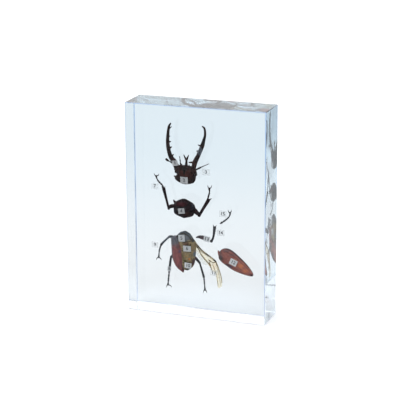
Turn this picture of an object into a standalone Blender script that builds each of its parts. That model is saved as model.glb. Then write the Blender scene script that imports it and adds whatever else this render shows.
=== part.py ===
# Dissected stag beetle with paper number labels, sealed in a clear resin block.
# Lengths below are in millimetres. The block stands on Z = 0, its broad front faces -Y.

from math import cos, pi, radians, sin

import bmesh
import bpy
from mathutils import Matrix, Vector

MM = 0.001

# Block
BLOCK_WIDTH = 85.0
BLOCK_DEPTH = 22.5
BLOCK_HEIGHT = 126.0
EDGE_BEVEL = 0.4
PARTING_Y = 0.6
GAP = 0.3

# Specimens lie with their limbs on the parting plane, so every pocket opens there.
CLEARANCE = 0.32
RIB_SIDES = 14
POCKET_SIDES = 8
POCKET_SLACK = 1.08
SQUARE_SLACK = 1.38
SHELL = 0.9
WING_THICKNESS = 0.5
CLAW_ROOT = 0.28
MITRE_LIMIT = 2.5
SMOOTH_BELOW = radians(50)

# Labels
PAPER = 0.2
LABEL_CLEARANCE = 0.3

RESIN = {"name": "resin", "color": (0.80, 0.90, 0.95, 0.35), "roughness": 0.03}
CHITIN = {"name": "dark chitin", "color": (0.030, 0.018, 0.016, 1.0), "roughness": 0.30}
BODY_BROWN = {"name": "brown chitin", "color": (0.095, 0.050, 0.032, 1.0), "roughness": 0.38}
WING_CASE = {"name": "wing case", "color": (0.200, 0.060, 0.045, 1.0), "roughness": 0.28}
LEG_BROWN = {"name": "leg chitin", "color": (0.070, 0.028, 0.022, 1.0), "roughness": 0.35}
LABEL_PAPER = {"name": "paper", "color": (0.72, 0.74, 0.76, 1.0), "roughness": 0.80}


def clear_scene():
    for item in list(bpy.data.objects):
        bpy.data.objects.remove(item, do_unlink=True)


def collection(name, parent=None):
    group = bpy.data.collections.new(name)
    (parent or bpy.context.scene.collection).children.link(group)
    return group


def material(spec):
    found = bpy.data.materials.get(spec["name"])
    if found:
        return found
    made = bpy.data.materials.new(spec["name"])
    made.use_nodes = True
    made.diffuse_color = spec["color"]
    shader = made.node_tree.nodes["Principled BSDF"]
    shader.inputs["Base Color"].default_value = spec["color"]
    shader.inputs["Roughness"].default_value = spec["roughness"]
    shader.inputs["Metallic"].default_value = 0.0
    shader.inputs["Alpha"].default_value = spec["color"][3]
    return made


def mesh_object(name, shape):
    bmesh.ops.recalc_face_normals(shape, faces=shape.faces)
    mesh = bpy.data.meshes.new(name)
    shape.to_mesh(mesh)
    shape.free()
    mesh.shade_smooth()
    mesh.set_sharp_from_angle(angle=SMOOTH_BELOW)
    return bpy.data.objects.new(name, mesh)


def from_curve(name, curve, turn=Matrix.Identity(4)):
    # Makes a mesh object of a filled curve, with its caps welded on.
    holder = bpy.data.objects.new(name, curve)
    holder.matrix_world = turn
    bpy.context.scene.collection.objects.link(holder)
    view = bpy.context.evaluated_depsgraph_get()
    mesh = bpy.data.meshes.new_from_object(holder.evaluated_get(view))
    shape = bmesh.new()
    shape.from_mesh(mesh)
    shape.transform(turn)
    bmesh.ops.remove_doubles(shape, verts=shape.verts, dist=0.005 * MM)
    bpy.data.objects.remove(holder, do_unlink=True)
    return mesh_object(name, shape)


def lengthen(path, reach):
    # Moves the two ends of a path outwards by reach.
    ends = [Vector(spot[:2]) for spot in (path[0], path[1], path[-2], path[-1])]
    start = ends[0] + (ends[0] - ends[1]).normalized() * reach
    finish = ends[3] + (ends[3] - ends[2]).normalized() * reach
    return [(*start, path[0][2])] + list(path[1:-1]) + [(*finish, path[-1][2])]


def limb(path, clearance=0.0):
    # A tapering round tube on the parting plane; path holds (x, z, radius).
    curve = bpy.data.curves.new("limb", "CURVE")
    curve.dimensions = "3D"
    curve.bevel_depth = MM
    curve.bevel_resolution = 0 if clearance else 1
    curve.use_fill_caps = True
    spline = curve.splines.new("POLY")
    spline.points.add(len(path) - 1)
    for spot, (x, z, radius) in zip(spline.points, lengthen(path, clearance)):
        spot.co = (x * MM, PARTING_Y * MM, z * MM, 1.0)
        spot.radius = (radius + clearance) * (SQUARE_SLACK if clearance else 1.0)
    return from_curve("limb", curve)


def rib_point(rib, turn, clearance):
    left, right, front, back = rib
    left, right = Vector(left), Vector(right)
    slack = POCKET_SLACK if clearance else 1.0
    half = (right - left) / 2 * slack
    across = half + half.normalized() * clearance
    place = (left + right) / 2 + across * cos(turn)
    rise = front * slack + clearance if sin(turn) > 0 else -(back * slack + clearance)
    return Vector((place.x, PARTING_Y - rise * abs(sin(turn)), place.y)) * MM


def shell_form(ribs, clearance=0.0):
    # A rounded body lofted over ribs; a rib is (left, right, front rise, back rise).
    middles = [(Vector(rib[0]) + Vector(rib[1])) / 2 for rib in ribs]
    steps = [Vector((0.0, 0.0))] * len(ribs)
    steps[0] = (middles[0] - middles[1]).normalized() * clearance
    steps[-1] = (middles[-1] - middles[-2]).normalized() * clearance
    sides = POCKET_SIDES if clearance else RIB_SIDES
    shape = bmesh.new()
    ring = bmesh.ops.create_circle(shape, cap_ends=True, segments=sides, radius=MM)
    cap = ring["verts"][0].link_faces[0]
    for index, (rib, step) in enumerate(zip(ribs, steps)):
        if index:
            cap = bmesh.ops.extrude_discrete_faces(shape, faces=[cap])["faces"][0]
        shift = Vector((step.x, 0.0, step.y)) * MM
        for corner, vert in enumerate(cap.verts):
            vert.co = rib_point(rib, 2 * pi * corner / sides, clearance) + shift
    bmesh.ops.holes_fill(shape, edges=[edge for edge in shape.edges if edge.is_boundary])
    return mesh_object("shell form", shape)


def sheet(outline, thickness):
    # A flat plate of the outline, centred on the parting plane.
    curve = bpy.data.curves.new("sheet", "CURVE")
    curve.dimensions = "2D"
    curve.fill_mode = "BOTH"
    curve.extrude = thickness / 2 * MM
    spline = curve.splines.new("POLY")
    spline.points.add(len(outline) - 1)
    for spot, (x, z) in zip(spline.points, outline):
        spot.co = (x * MM, z * MM, 0.0, 1.0)
    spline.use_cyclic_u = True
    stand = Matrix.Translation((0.0, PARTING_Y * MM, 0.0)) @ Matrix.Rotation(pi / 2, 4, "X")
    return from_curve("sheet", curve, stand)


def plate(size):
    shape = bmesh.new()
    bmesh.ops.create_cube(shape, size=1.0)
    bmesh.ops.scale(shape, vec=Vector(size) * MM, verts=shape.verts)
    return mesh_object("plate", shape)


def grown(outline, clearance):
    # Offsets an outline outwards; a sharp corner moves further, up to MITRE_LIMIT times.
    corners = [Vector(spot) for spot in outline]
    area = sum(corners[index - 1].cross(spot) for index, spot in enumerate(corners))
    outwards = clearance if area < 0 else -clearance
    moved = []
    for index, spot in enumerate(corners):
        before = (spot - corners[index - 1]).normalized()
        after = (corners[(index + 1) % len(corners)] - spot).normalized()
        normal = Vector((-(before.y + after.y), before.x + after.x)).normalized()
        mitre = max(normal.dot(Vector((-after.y, after.x))), 1 / MITRE_LIMIT)
        moved.append(spot + normal * outwards / mitre)
    return moved


def claws(wrist, left_tip, right_tip, clearance):
    # Two hooked claws that spread from the end of a tarsus, or the wedge that holds them.
    if clearance:
        corners = grown((wrist, right_tip, left_tip), CLAW_ROOT + clearance)
        return [sheet(corners, 2 * (CLAW_ROOT + clearance))]
    made = []
    for tip in (left_tip, right_tip):
        bend = (0.35 * wrist[0] + 0.65 * tip[0], 0.55 * wrist[1] + 0.45 * tip[1], 0.22)
        made.append(limb([(*wrist, CLAW_ROOT), bend, (*tip, 0.12)]))
    return made


def limbs(paths, clearance):
    return [limb(path, clearance) for path in paths]


# Head: capsule, mandibles with teeth, antennae, palps and the forked labrum
HEAD_RIBS = [
    ((-10.6, 79.0), (-6.0, 78.9), 1.2, 1.4),
    ((-12.6, 79.9), (-3.7, 79.7), 2.2, 2.4),
    ((-14.5, 81.0), (-2.5, 81.0), 2.8, 3.0),
    ((-15.1, 82.4), (-1.9, 82.4), 3.1, 3.3),
    ((-13.8, 83.4), (-1.7, 83.6), 3.2, 3.4),
    ((-14.2, 84.8), (-1.4, 84.9), 3.2, 3.4),
    ((-15.1, 86.6), (-1.2, 86.0), 2.9, 3.2),
    ((-14.9, 88.0), (-2.0, 87.6), 2.2, 2.8),
    ((-13.8, 89.3), (-3.2, 89.2), 1.4, 2.2),
]
MANDIBLE_LEFT = [
    (-13.4, 88.0, 1.60), (-15.0, 91.5, 1.45), (-16.5, 93.2, 1.25), (-17.7, 95.9, 1.05), (-18.6, 99.4, 0.90),
    (-19.0, 103.0, 0.75), (-18.8, 106.8, 0.65), (-18.5, 110.5, 0.58), (-18.0, 112.6, 0.50), (-16.9, 114.1, 0.30),
]
MANDIBLE_RIGHT = [
    (-3.8, 87.8, 1.90), (-2.9, 91.0, 1.85), (-1.4, 93.6, 1.65), (0.2, 96.6, 1.25), (1.6, 99.7, 1.20),
    (2.5, 102.5, 1.15), (3.2, 105.3, 0.80), (4.0, 108.3, 0.62), (4.2, 110.9, 0.55), (3.7, 112.7, 0.48),
    (2.5, 113.5, 0.30),
]
MANDIBLE_TEETH = [
    [(-18.4, 110.9, 0.45), (-16.6, 112.0, 0.15)],
    [(-19.0, 102.2, 0.50), (-17.4, 102.3, 0.15)],
    [(-18.5, 99.0, 0.50), (-16.8, 99.3, 0.15)],
    [(-17.2, 94.6, 0.60), (-15.3, 95.2, 0.18)],
    [(2.0, 102.4, 0.60), (0.0, 102.3, 0.18)],
    [(1.2, 98.8, 0.70), (-0.8, 98.9, 0.18)],
    [(-2.4, 92.2, 1.00), (-6.0, 91.7, 0.22)],
]
ANTENNAE = [
    [(-3.6, 86.8, 0.50), (-1.2, 88.0, 0.50), (1.2, 89.5, 0.45), (3.4, 90.6, 0.40), (6.1, 92.0, 0.28)],
    [(-14.0, 88.4, 0.45), (-16.5, 91.4, 0.42), (-18.6, 92.2, 0.55), (-20.3, 92.9, 0.70)],
]
MOUTH = [
    [(-7.5, 88.0, 0.60), (-7.5, 93.4, 0.50)],
    [(-7.4, 92.8, 0.38), (-8.9, 95.2, 0.20)],
    [(-7.4, 92.8, 0.38), (-6.5, 95.3, 0.20)],
    [(-10.9, 88.0, 0.40), (-11.0, 91.2, 0.34), (-11.4, 94.1, 0.24)],
]


def head(clearance=0.0):
    paths = [MANDIBLE_LEFT, MANDIBLE_RIGHT] + MANDIBLE_TEETH + ANTENNAE + MOUTH
    return [shell_form(HEAD_RIBS, clearance)] + limbs(paths, clearance)


# Prothorax with the fore legs
PRONOTUM_RIBS = [
    ((-10.6, 58.4), (-7.6, 58.2), 1.6, 1.6),
    ((-13.4, 59.2), (-4.6, 59.0), 2.8, 2.6),
    ((-15.2, 60.4), (-3.3, 60.1), 3.6, 3.2),
    ((-15.5, 62.6), (-2.6, 62.2), 4.1, 3.5),
    ((-15.4, 65.0), (-2.2, 64.4), 4.2, 3.6),
    ((-15.2, 67.0), (-2.9, 66.4), 3.7, 3.3),
    ((-13.8, 68.1), (-4.6, 67.7), 2.9, 2.8),
    ((-10.9, 69.5), (-7.0, 68.8), 1.8, 2.0),
]
PRONOTUM_CORNER = [(-13.8, 66.6, 0.70), (-15.4, 68.3, 0.30)]
FORE_LEG_LEFT = [
    [(-12.5, 64.6, 1.10), (-15.6, 65.2, 1.20), (-19.2, 63.6, 0.90)],
    [(-18.9, 63.0, 0.65), (-20.4, 69.0, 0.72), (-21.6, 74.4, 1.00)],
    [(-21.5, 73.6, 0.45), (-22.9, 75.3, 0.15)],
    [(-21.4, 73.6, 0.45), (-20.8, 75.8, 0.15)],
    [(-21.6, 74.0, 0.36), (-22.4, 76.3, 0.36), (-24.0, 77.7, 0.38), (-25.3, 79.2, 0.36), (-26.1, 81.0, 0.36),
     (-26.2, 81.9, 0.42)],
]
FORE_LEG_RIGHT = [
    [(-5.0, 64.4, 1.20), (-3.0, 63.8, 1.35), (-0.2, 60.7, 1.00)],
    [(-0.4, 60.2, 0.70), (2.6, 65.3, 0.75), (5.4, 69.8, 1.00)],
    [(5.0, 69.2, 0.45), (7.3, 70.7, 0.15)],
    [(5.2, 69.4, 0.38), (6.2, 72.4, 0.36), (7.0, 74.8, 0.36), (6.8, 77.2, 0.42)],
]


def prothorax(clearance=0.0):
    forms = [shell_form(PRONOTUM_RIBS, clearance)]
    forms += limbs([PRONOTUM_CORNER] + FORE_LEG_LEFT + FORE_LEG_RIGHT, clearance)
    forms += claws((-26.2, 81.8), (-27.4, 83.2), (-24.6, 83.2), clearance)
    forms += claws((6.8, 77.1), (5.9, 78.8), (8.2, 78.9), clearance)
    return forms


# Body: middle and hind thorax, abdomen, left wing case, spread hind wing and three legs
BODY_RIBS = [
    ((-10.2, 26.2), (-7.3, 26.0), 1.2, 1.4),
    ((-12.4, 27.8), (-5.1, 27.6), 2.2, 2.6),
    ((-14.0, 30.2), (-3.7, 29.9), 2.8, 3.4),
    ((-15.6, 33.6), (-2.5, 33.5), 3.1, 4.0),
    ((-16.3, 37.0), (-2.2, 37.0), 3.2, 4.3),
    ((-16.6, 40.0), (-2.1, 40.0), 3.3, 4.4),
    ((-16.8, 43.4), (-1.8, 43.2), 3.4, 4.3),
    ((-15.4, 45.8), (-3.4, 45.6), 3.2, 3.8),
    ((-13.4, 47.6), (-4.8, 47.4), 2.6, 3.0),
    ((-11.8, 49.2), (-6.2, 49.0), 1.8, 2.2),
    ((-9.9, 50.0), (-7.6, 49.8), 1.0, 1.4),
]
WING_CASE_LEFT_RIBS = [
    ((-11.0, 25.0), (-9.7, 24.8), 0.9, 0.6),
    ((-12.9, 26.4), (-9.4, 26.8), 2.3, 0.9),
    ((-14.7, 28.4), (-9.5, 29.2), 3.3, 0.9),
    ((-16.2, 31.6), (-9.7, 32.2), 4.0, 0.9),
    ((-16.9, 34.5), (-10.1, 35.4), 4.3, 0.9),
    ((-17.1, 39.3), (-10.8, 39.4), 4.4, 0.9),
    ((-17.3, 43.0), (-11.6, 42.4), 4.2, 0.9),
    ((-17.3, 45.9), (-12.2, 44.8), 3.2, 0.8),
    ((-15.4, 46.9), (-12.8, 46.2), 1.8, 0.6),
]
WING_COSTA = [
    (-6.0, 47.0, 0.70), (-3.6, 45.1, 0.65), (-1.1, 42.3, 0.60), (3.2, 37.8, 0.50), (6.8, 35.5, 0.45),
    (10.2, 33.2, 0.55), (11.4, 30.6, 0.42), (13.0, 26.6, 0.36), (13.8, 20.6, 0.28),
]
WING_OUTLINE = [
    (-6.0, 46.6), (-3.6, 44.8), (-1.1, 42.3), (3.2, 37.8), (6.8, 35.5), (10.2, 33.2), (11.4, 30.6), (13.0, 26.6),
    (13.9, 20.3), (12.7, 17.6), (11.7, 18.2), (11.0, 23.8), (10.1, 26.7), (7.8, 28.4), (6.5, 31.2), (4.5, 33.2),
    (1.1, 36.5), (-3.6, 38.6),
]
MIDDLE_LEG_LEFT = [
    [(-15.2, 45.0, 0.90), (-17.2, 45.8, 0.85), (-19.5, 45.4, 0.70)],
    [(-18.9, 45.9, 0.55), (-21.6, 43.0, 0.60), (-24.0, 40.0, 0.78)],
    [(-23.6, 40.6, 0.36), (-25.4, 36.1, 0.36), (-25.6, 32.1, 0.42)],
]
HIND_LEG_LEFT = [
    [(-15.6, 34.8, 0.70), (-17.4, 33.0, 0.62), (-18.5, 27.2, 0.62), (-19.1, 23.2, 0.80)],
    [(-19.0, 23.8, 0.36), (-19.9, 17.2, 0.36), (-20.0, 15.6, 0.42)],
]
HIND_LEG_RIGHT = [
    [(-4.2, 36.6, 0.90), (-2.1, 34.6, 0.90), (0.6, 31.7, 0.72)],
    [(0.2, 32.4, 0.55), (1.5, 27.8, 0.60), (2.9, 23.4, 0.80)],
    [(2.7, 24.0, 0.36), (3.3, 19.4, 0.36), (3.5, 15.8, 0.42)],
]


def body(clearance=0.0):
    forms = [shell_form(BODY_RIBS, clearance), shell_form(WING_CASE_LEFT_RIBS, clearance)]
    forms.append(sheet(grown(WING_OUTLINE, clearance), WING_THICKNESS + 2 * clearance))
    forms += limbs([WING_COSTA] + MIDDLE_LEG_LEFT + HIND_LEG_LEFT + HIND_LEG_RIGHT, clearance)
    forms += claws((-25.6, 32.2), (-26.9, 30.8), (-23.9, 30.8), clearance)
    forms += claws((-20.0, 15.7), (-20.9, 14.0), (-17.8, 14.8), clearance)
    forms += claws((3.5, 15.9), (2.6, 13.9), (4.5, 14.0), clearance)
    return forms


# Detached right wing case: a thin domed shell
WING_CASE_RIGHT = [
    ((13.2, 40.9), (12.0, 38.4), 1.0),
    ((15.0, 41.9), (12.8, 36.2), 2.1),
    ((17.8, 42.0), (14.2, 33.9), 2.9),
    ((20.6, 40.8), (17.2, 31.8), 3.1),
    ((23.8, 38.4), (20.6, 29.8), 3.0),
    ((27.2, 35.7), (24.4, 28.3), 2.7),
    ((30.4, 32.3), (28.3, 27.3), 2.1),
    ((32.4, 29.4), (31.4, 26.9), 1.3),
    ((33.3, 27.9), (32.8, 27.0), 0.7),
]


def elytron_right(clearance=0.0):
    if clearance:
        ribs = [(left, right, rise, 0.0) for left, right, rise in WING_CASE_RIGHT]
    else:
        ribs = [(left, right, rise, SHELL - rise) for left, right, rise in WING_CASE_RIGHT]
    return [shell_form(ribs, clearance)]


def elytron_core():
    # The resin that fills the wing case's hollow side, as a bump on the back half.
    ribs = []
    for left, right, rise in WING_CASE_RIGHT[1:-1]:
        left, right = Vector(left), Vector(right)
        inset = (right - left).normalized() * 1.1
        ribs.append((left + inset, right - inset, max(rise - SHELL - CLEARANCE, 0.3), 1.0))
    return shell_form(ribs)


# Detached right middle leg in three pieces
LEG_BASE = [[(-1.9, 46.9, 0.30), (0.3, 47.3, 0.85), (2.5, 47.1, 1.25), (4.4, 46.4, 1.15), (6.0, 45.5, 0.75)]]
LEG_TIBIA = [
    [(7.6, 44.9, 0.65), (8.4, 46.6, 0.55), (9.0, 49.6, 0.55), (9.3, 54.3, 0.95)],
    [(9.1, 53.6, 0.40), (8.5, 55.4, 0.15)],
    [(9.4, 53.6, 0.40), (10.5, 55.2, 0.15)],
]
LEG_TARSUS = [[(12.8, 56.5, 0.40), (15.8, 58.7, 0.36), (18.4, 61.3, 0.36), (18.8, 63.6, 0.42)]]


def leg_base(clearance=0.0):
    return limbs(LEG_BASE, clearance)


def leg_tibia(clearance=0.0):
    return limbs(LEG_TIBIA, clearance)


def leg_tarsus(clearance=0.0):
    return limbs(LEG_TARSUS, clearance) + claws((18.8, 63.5), (17.6, 65.0), (19.5, 65.3), clearance)


# Labels: x, z, width, height, turn in degrees and depth y of the paper's middle
LABELS = {
    "mandible": (-14.1, 90.8, 4.4, 3.6, -8, -1.5),
    "head": (-8.2, 80.9, 4.8, 4.2, 0, -3.1),
    "antenna": (4.3, 86.4, 5.0, 3.8, 0, PARTING_Y),
    "pronotum": (-9.7, 62.9, 4.6, 3.6, -10, -4.1),
    "mesothorax": (-10.0, 46.2, 4.6, 4.4, -8, -3.3),
    "metathorax": (-6.6, 40.2, 5.0, 3.8, 0, -3.4),
    "fore_leg": (-27.1, 75.3, 4.2, 3.6, 0, PARTING_Y),
    "hind_leg": (-18.5, 25.9, 3.4, 3.0, -4, -0.7),
    "middle_leg": (-27.6, 39.6, 4.2, 3.6, 0, PARTING_Y),
    "abdomen": (-6.3, 30.0, 4.5, 3.4, 8, -2.9),
    "wing": (9.0, 26.4, 4.4, 3.8, -6, -0.1),
    "elytron": (21.6, 34.6, 4.9, 4.0, -25, -3.2),
    "femur": (5.0, 47.3, 4.0, 3.6, 0, -1.1),
    "tibia": (13.1, 51.0, 4.4, 3.8, 0, PARTING_Y),
    "tarsus": (14.4, 62.5, 4.4, 3.8, 0, PARTING_Y),
}


def label(spec, clearance=0.0):
    x, z, width, height, turn, y = spec
    paper = plate((width + 2 * clearance, PAPER + 2 * clearance, height + 2 * clearance))
    paper.location = Vector((x, y, z)) * MM
    paper.rotation_euler.y = -radians(turn)
    return paper


def boolean(target, operation, operands):
    step = target.modifiers.new(operation.lower(), "BOOLEAN")
    step.operation = operation
    step.solver = "EXACT"
    step.operand_type = "COLLECTION"
    step.collection = operands


def hide(item, group):
    group.objects.link(item)
    item.hide_render = True
    item.display_type = "WIRE"


def specimen(name, forms, look, parts, cutters, pockets):
    # Joins a specimen's forms into one solid and adds its pocket to the cutters.
    core, *joined = forms()
    core.name = name
    core.data.materials.append(material(look))
    parts.objects.link(core)
    if joined:
        group = collection(name + " forms", cutters)
        for item in joined:
            hide(item, group)
        boolean(core, "UNION", group)
    for item in forms(CLEARANCE):
        item.name = "pocket " + name
        hide(item, pockets)


def block_half(name, side, parts, pockets):
    # side is -1 for the front half and 1 for the back half.
    shape = bmesh.new()
    bmesh.ops.create_cube(shape, size=1.0)
    size = Vector((BLOCK_WIDTH, BLOCK_DEPTH, BLOCK_HEIGHT)) * MM
    bmesh.ops.scale(shape, vec=size, verts=shape.verts)
    bmesh.ops.translate(shape, vec=(0.0, 0.0, size.z / 2), verts=shape.verts)
    bmesh.ops.bevel(shape, geom=shape.edges, offset=EDGE_BEVEL * MM, segments=1, profile=0.5, affect="EDGES")
    cut = (0.0, (PARTING_Y + side * GAP / 2) * MM, 0.0)
    geometry = list(shape.verts) + list(shape.edges) + list(shape.faces)
    bmesh.ops.bisect_plane(shape, geom=geometry, plane_co=cut, plane_no=(0.0, -side, 0.0), clear_outer=True)
    bmesh.ops.holes_fill(shape, edges=[edge for edge in shape.edges if edge.is_boundary])
    half = mesh_object(name, shape)
    half.data.shade_flat()
    half.data.materials.append(material(RESIN))
    parts.objects.link(half)
    return half


def build():
    clear_scene()
    parts = collection("insect in resin block")
    cutters = collection("cutters")
    pockets = collection("pockets", cutters)

    specimen("head", head, CHITIN, parts, cutters, pockets)
    specimen("prothorax", prothorax, CHITIN, parts, cutters, pockets)
    specimen("body", body, BODY_BROWN, parts, cutters, pockets)
    specimen("elytron_right", elytron_right, WING_CASE, parts, cutters, pockets)
    specimen("leg_base", leg_base, LEG_BROWN, parts, cutters, pockets)
    specimen("leg_tibia", leg_tibia, LEG_BROWN, parts, cutters, pockets)
    specimen("leg_tarsus", leg_tarsus, LEG_BROWN, parts, cutters, pockets)

    for name, spec in LABELS.items():
        paper = label(spec)
        paper.name = "label_" + name
        paper.data.shade_flat()
        paper.data.materials.append(material(LABEL_PAPER))
        parts.objects.link(paper)
        hide(label(spec, LABEL_CLEARANCE), pockets)

    front = block_half("resin_front", -1, parts, pockets)
    back = block_half("resin_back", 1, parts, pockets)
    boolean(front, "DIFFERENCE", pockets)
    boolean(back, "DIFFERENCE", pockets)
    filler = collection("filler", cutters)
    hide(elytron_core(), filler)
    boolean(back, "UNION", filler)


build()
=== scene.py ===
from math import ceil, cos, exp, pi, radians, sin

import bmesh
import bpy
from mathutils import Matrix, Vector, noise


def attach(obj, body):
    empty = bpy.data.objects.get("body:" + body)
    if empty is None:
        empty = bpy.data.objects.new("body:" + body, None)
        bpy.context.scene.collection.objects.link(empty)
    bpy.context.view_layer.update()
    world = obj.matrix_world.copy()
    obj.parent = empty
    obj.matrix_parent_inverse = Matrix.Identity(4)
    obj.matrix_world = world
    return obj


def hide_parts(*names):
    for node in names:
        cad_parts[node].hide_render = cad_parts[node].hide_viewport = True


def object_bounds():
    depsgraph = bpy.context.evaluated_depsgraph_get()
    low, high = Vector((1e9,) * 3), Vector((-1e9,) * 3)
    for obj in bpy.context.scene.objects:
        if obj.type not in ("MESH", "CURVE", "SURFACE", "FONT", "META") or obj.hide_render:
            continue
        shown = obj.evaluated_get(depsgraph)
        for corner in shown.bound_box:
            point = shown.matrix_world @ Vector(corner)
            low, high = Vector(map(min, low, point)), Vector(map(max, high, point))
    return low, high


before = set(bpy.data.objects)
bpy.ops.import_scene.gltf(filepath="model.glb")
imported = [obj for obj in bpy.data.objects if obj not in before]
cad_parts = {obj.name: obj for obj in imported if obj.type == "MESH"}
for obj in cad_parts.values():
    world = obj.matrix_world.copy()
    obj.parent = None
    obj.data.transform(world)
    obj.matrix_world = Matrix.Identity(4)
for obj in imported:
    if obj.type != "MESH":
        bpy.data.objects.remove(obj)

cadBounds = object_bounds()
mm = 0.001  # every length in the dictionaries is in millimetres
limbPlane = 0.6  # Y of the plane that all the limbs lie on
smoothBelow = radians(48)

camera = {
    "target": (-0.81, 0.0, 68.41),
    "azimuth": 19.98,
    "elevation": 16.275,
    "roll": -0.31,
    "distance": 822.75,
    "lens": 127.2,
    "sensor": 36.0,
    "clipStart": 10.0,
}


def addItem(name, data):
    item = bpy.data.objects.new(name, data)
    bpy.context.scene.collection.objects.link(item)
    return item


def addCamera():
    azimuth, elevation = radians(camera["azimuth"]), radians(camera["elevation"])
    back = Vector((sin(azimuth) * cos(elevation), -cos(azimuth) * cos(elevation), sin(elevation)))
    right = Vector((cos(azimuth), sin(azimuth), 0.0))
    axes = Matrix((right, back.cross(right), back)).transposed()
    lens = bpy.data.cameras.new("camera")
    lens.lens = camera["lens"]
    lens.sensor_width = camera["sensor"]
    lens.clip_start = camera["clipStart"] * mm
    item = addItem("camera", lens)
    place = Vector(camera["target"]) + back * camera["distance"]
    turn = Matrix.Rotation(radians(camera["roll"]), 4, "Z")
    item.matrix_world = Matrix.Translation(place * mm) @ axes.to_4x4() @ turn
    bpy.context.scene.camera = item


# Small helpers for node trees: values go on the sockets, outputs of other nodes are linked to them.
def fillSockets(tree, node, inputs):
    for name, value in inputs.items():
        socket = node.inputs[name]
        if isinstance(value, bpy.types.NodeSocket):
            tree.links.new(value, socket)
        else:
            socket.default_value = (*value, 1.0) if socket.type == "RGBA" else value


def addNode(tree, kind, inputs=None, **settings):
    made = tree.nodes.new("ShaderNode" + kind)
    for name, value in settings.items():
        setattr(made, name, value)
    fillSockets(tree, made, inputs or {})
    return made


def calculate(tree, operation, *values):
    return addNode(tree, "Math", dict(enumerate(values)), operation=operation).outputs[0]


def calculateVector(tree, operation, *values):
    return addNode(tree, "VectorMath", dict(enumerate(values)), operation=operation).outputs


def mixColors(tree, amount, first, second):
    return addNode(tree, "Mix", {"Factor": amount, "A": first, "B": second},
                   data_type="RGBA").outputs["Result"]


def mapRange(tree, value, start, end, low=0.0, high=1.0):
    return addNode(tree, "MapRange", {"Value": value, "From Min": start, "From Max": end, "To Min": low,
                                      "To Max": high}, interpolation_type="SMOOTHSTEP").outputs["Result"]


# The same over a reach in millimetres.
def fade(tree, value, reach, low=0.0, high=1.0):
    start, end = (edge * mm for edge in reach)
    return mapRange(tree, value, start, end, low, high)


def noiseAt(tree, place, size, detail, roughness=0.5):
    return addNode(tree, "TexNoise", {"Vector": place, "Scale": size, "Detail": detail,
                                      "Roughness": roughness}).outputs["Fac"]


def stretched(tree, place, scale):
    return addNode(tree, "Mapping", {"Vector": place, "Scale": scale}).outputs["Vector"]


def bumpNormal(tree, height, strength, rise):
    return addNode(tree, "Bump", {"Strength": strength, "Distance": rise * mm,
                                  "Height": height}).outputs["Normal"]


def attribute(tree, name):
    return addNode(tree, "Attribute", attribute_name=name).outputs["Fac"]


def objectPlace(tree):
    return addNode(tree, "TexCoord").outputs["Object"]


def meshFrom(name, shape, looks):
    mesh = bpy.data.meshes.new(name)
    shape.to_mesh(mesh)
    shape.free()
    for look in looks:
        mesh.materials.append(look)
    return mesh


def newMaterial(name):
    look = bpy.data.materials.new(name)
    look.use_nodes = True
    return look, look.node_tree, look.node_tree.nodes["Principled BSDF"]


studio = {
    "floorSize": 12000.0,
    "floorDrop": 0.2,  # clear of the block's bottom face, so that the two don't fight
    "floorPale": (0.95, 0.95, 0.95),
    # painted light on the floor under the block, as seen through the resin
    "floorUnderPaintedLight": (0.84, 1.00, 1.00),
    "floorUnderHalf": (43.0, 12.0, 1.0),
    "floorUnderEdge": (0.98, 1.04),
    "floorClosePaintedLight": (0.92, 0.95, 0.97),  # painted light: a paler floor close to the block, seen through the resin, lifts the shade that the block throws
    "floorCloseFade": (15.0, 75.0),
    "floorNear": (0.725, 0.735, 0.735),  # painted shade: near and far are what shows through the resin
    "floorFar": (0.610, 0.670, 0.698),
    "floorFade": (30.0, 420.0),
    "horizonFade": (600.0, 4000.0),
    "floorDeepPaintedShade": (0.34, 0.42, 0.47),  # painted shade: far floor seen after many turns inside the block
    "floorDeepFade": (260.0, 420.0),
    "manyTurns": 4.5,
    "floorMirroredPaintedShade": (0.06, 0.06, 0.06),  # painted shade: a dim floor mirrored in the front, a painted dark reflection, keeps the insect crisp
    "floorMirroredFade": (60.0, -40.0),
    "floorGrain": 6.0,  # patches a metre
    "floorWorn": (0.6, 0.8, 0.0, 0.03),
    "floorRoughness": 0.9,
    "floorGloss": 0.1,
    "floorGlowPaintedLight": 0.13,  # painted light: the floor glows beside the block, lifting its shade where the camera sees it directly
    "floorGlowFade": (70.0, 140.0),
    "skyBehind": (1.18, 1.21, 1.24),
    "skyFront": (1.14, 1.16, 1.18),
    "skyFade": (-0.6, 0.5),
    "keyPower": 6.0,
    "keySize": 1600.0,
    "keyPlace": (-700.0, -300.0, 1400.0),
    "keyAim": (0.0, 0.0, 60.0),
    "bounces": {"max": 40, "glossy": 32, "transmission": 32, "diffuse": 5},
}


def addWorld():
    world = bpy.data.worlds.new("studio")
    world.use_nodes = True
    tree = world.node_tree
    direction = addNode(tree, "TexCoord").outputs["Generated"]
    depth = addNode(tree, "SeparateXYZ", {"Vector": direction}).outputs["Y"]
    amount = mapRange(tree, depth, *studio["skyFade"])
    color = mixColors(tree, amount, studio["skyFront"], studio["skyBehind"])
    fillSockets(tree, tree.nodes["Background"], {"Color": color})
    bpy.context.scene.world = world


def addKeyLight():
    light = bpy.data.lights.new("key softbox", "AREA")
    light.shape = "SQUARE"
    light.size = studio["keySize"] * mm
    light.energy = studio["keyPower"]
    place = Vector(studio["keyPlace"]) * mm
    aim = Vector(studio["keyAim"]) * mm - place
    turn = aim.to_track_quat("-Z", "Y").to_matrix().to_4x4()
    addItem("key softbox", light).matrix_world = Matrix.Translation(place) @ turn
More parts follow.
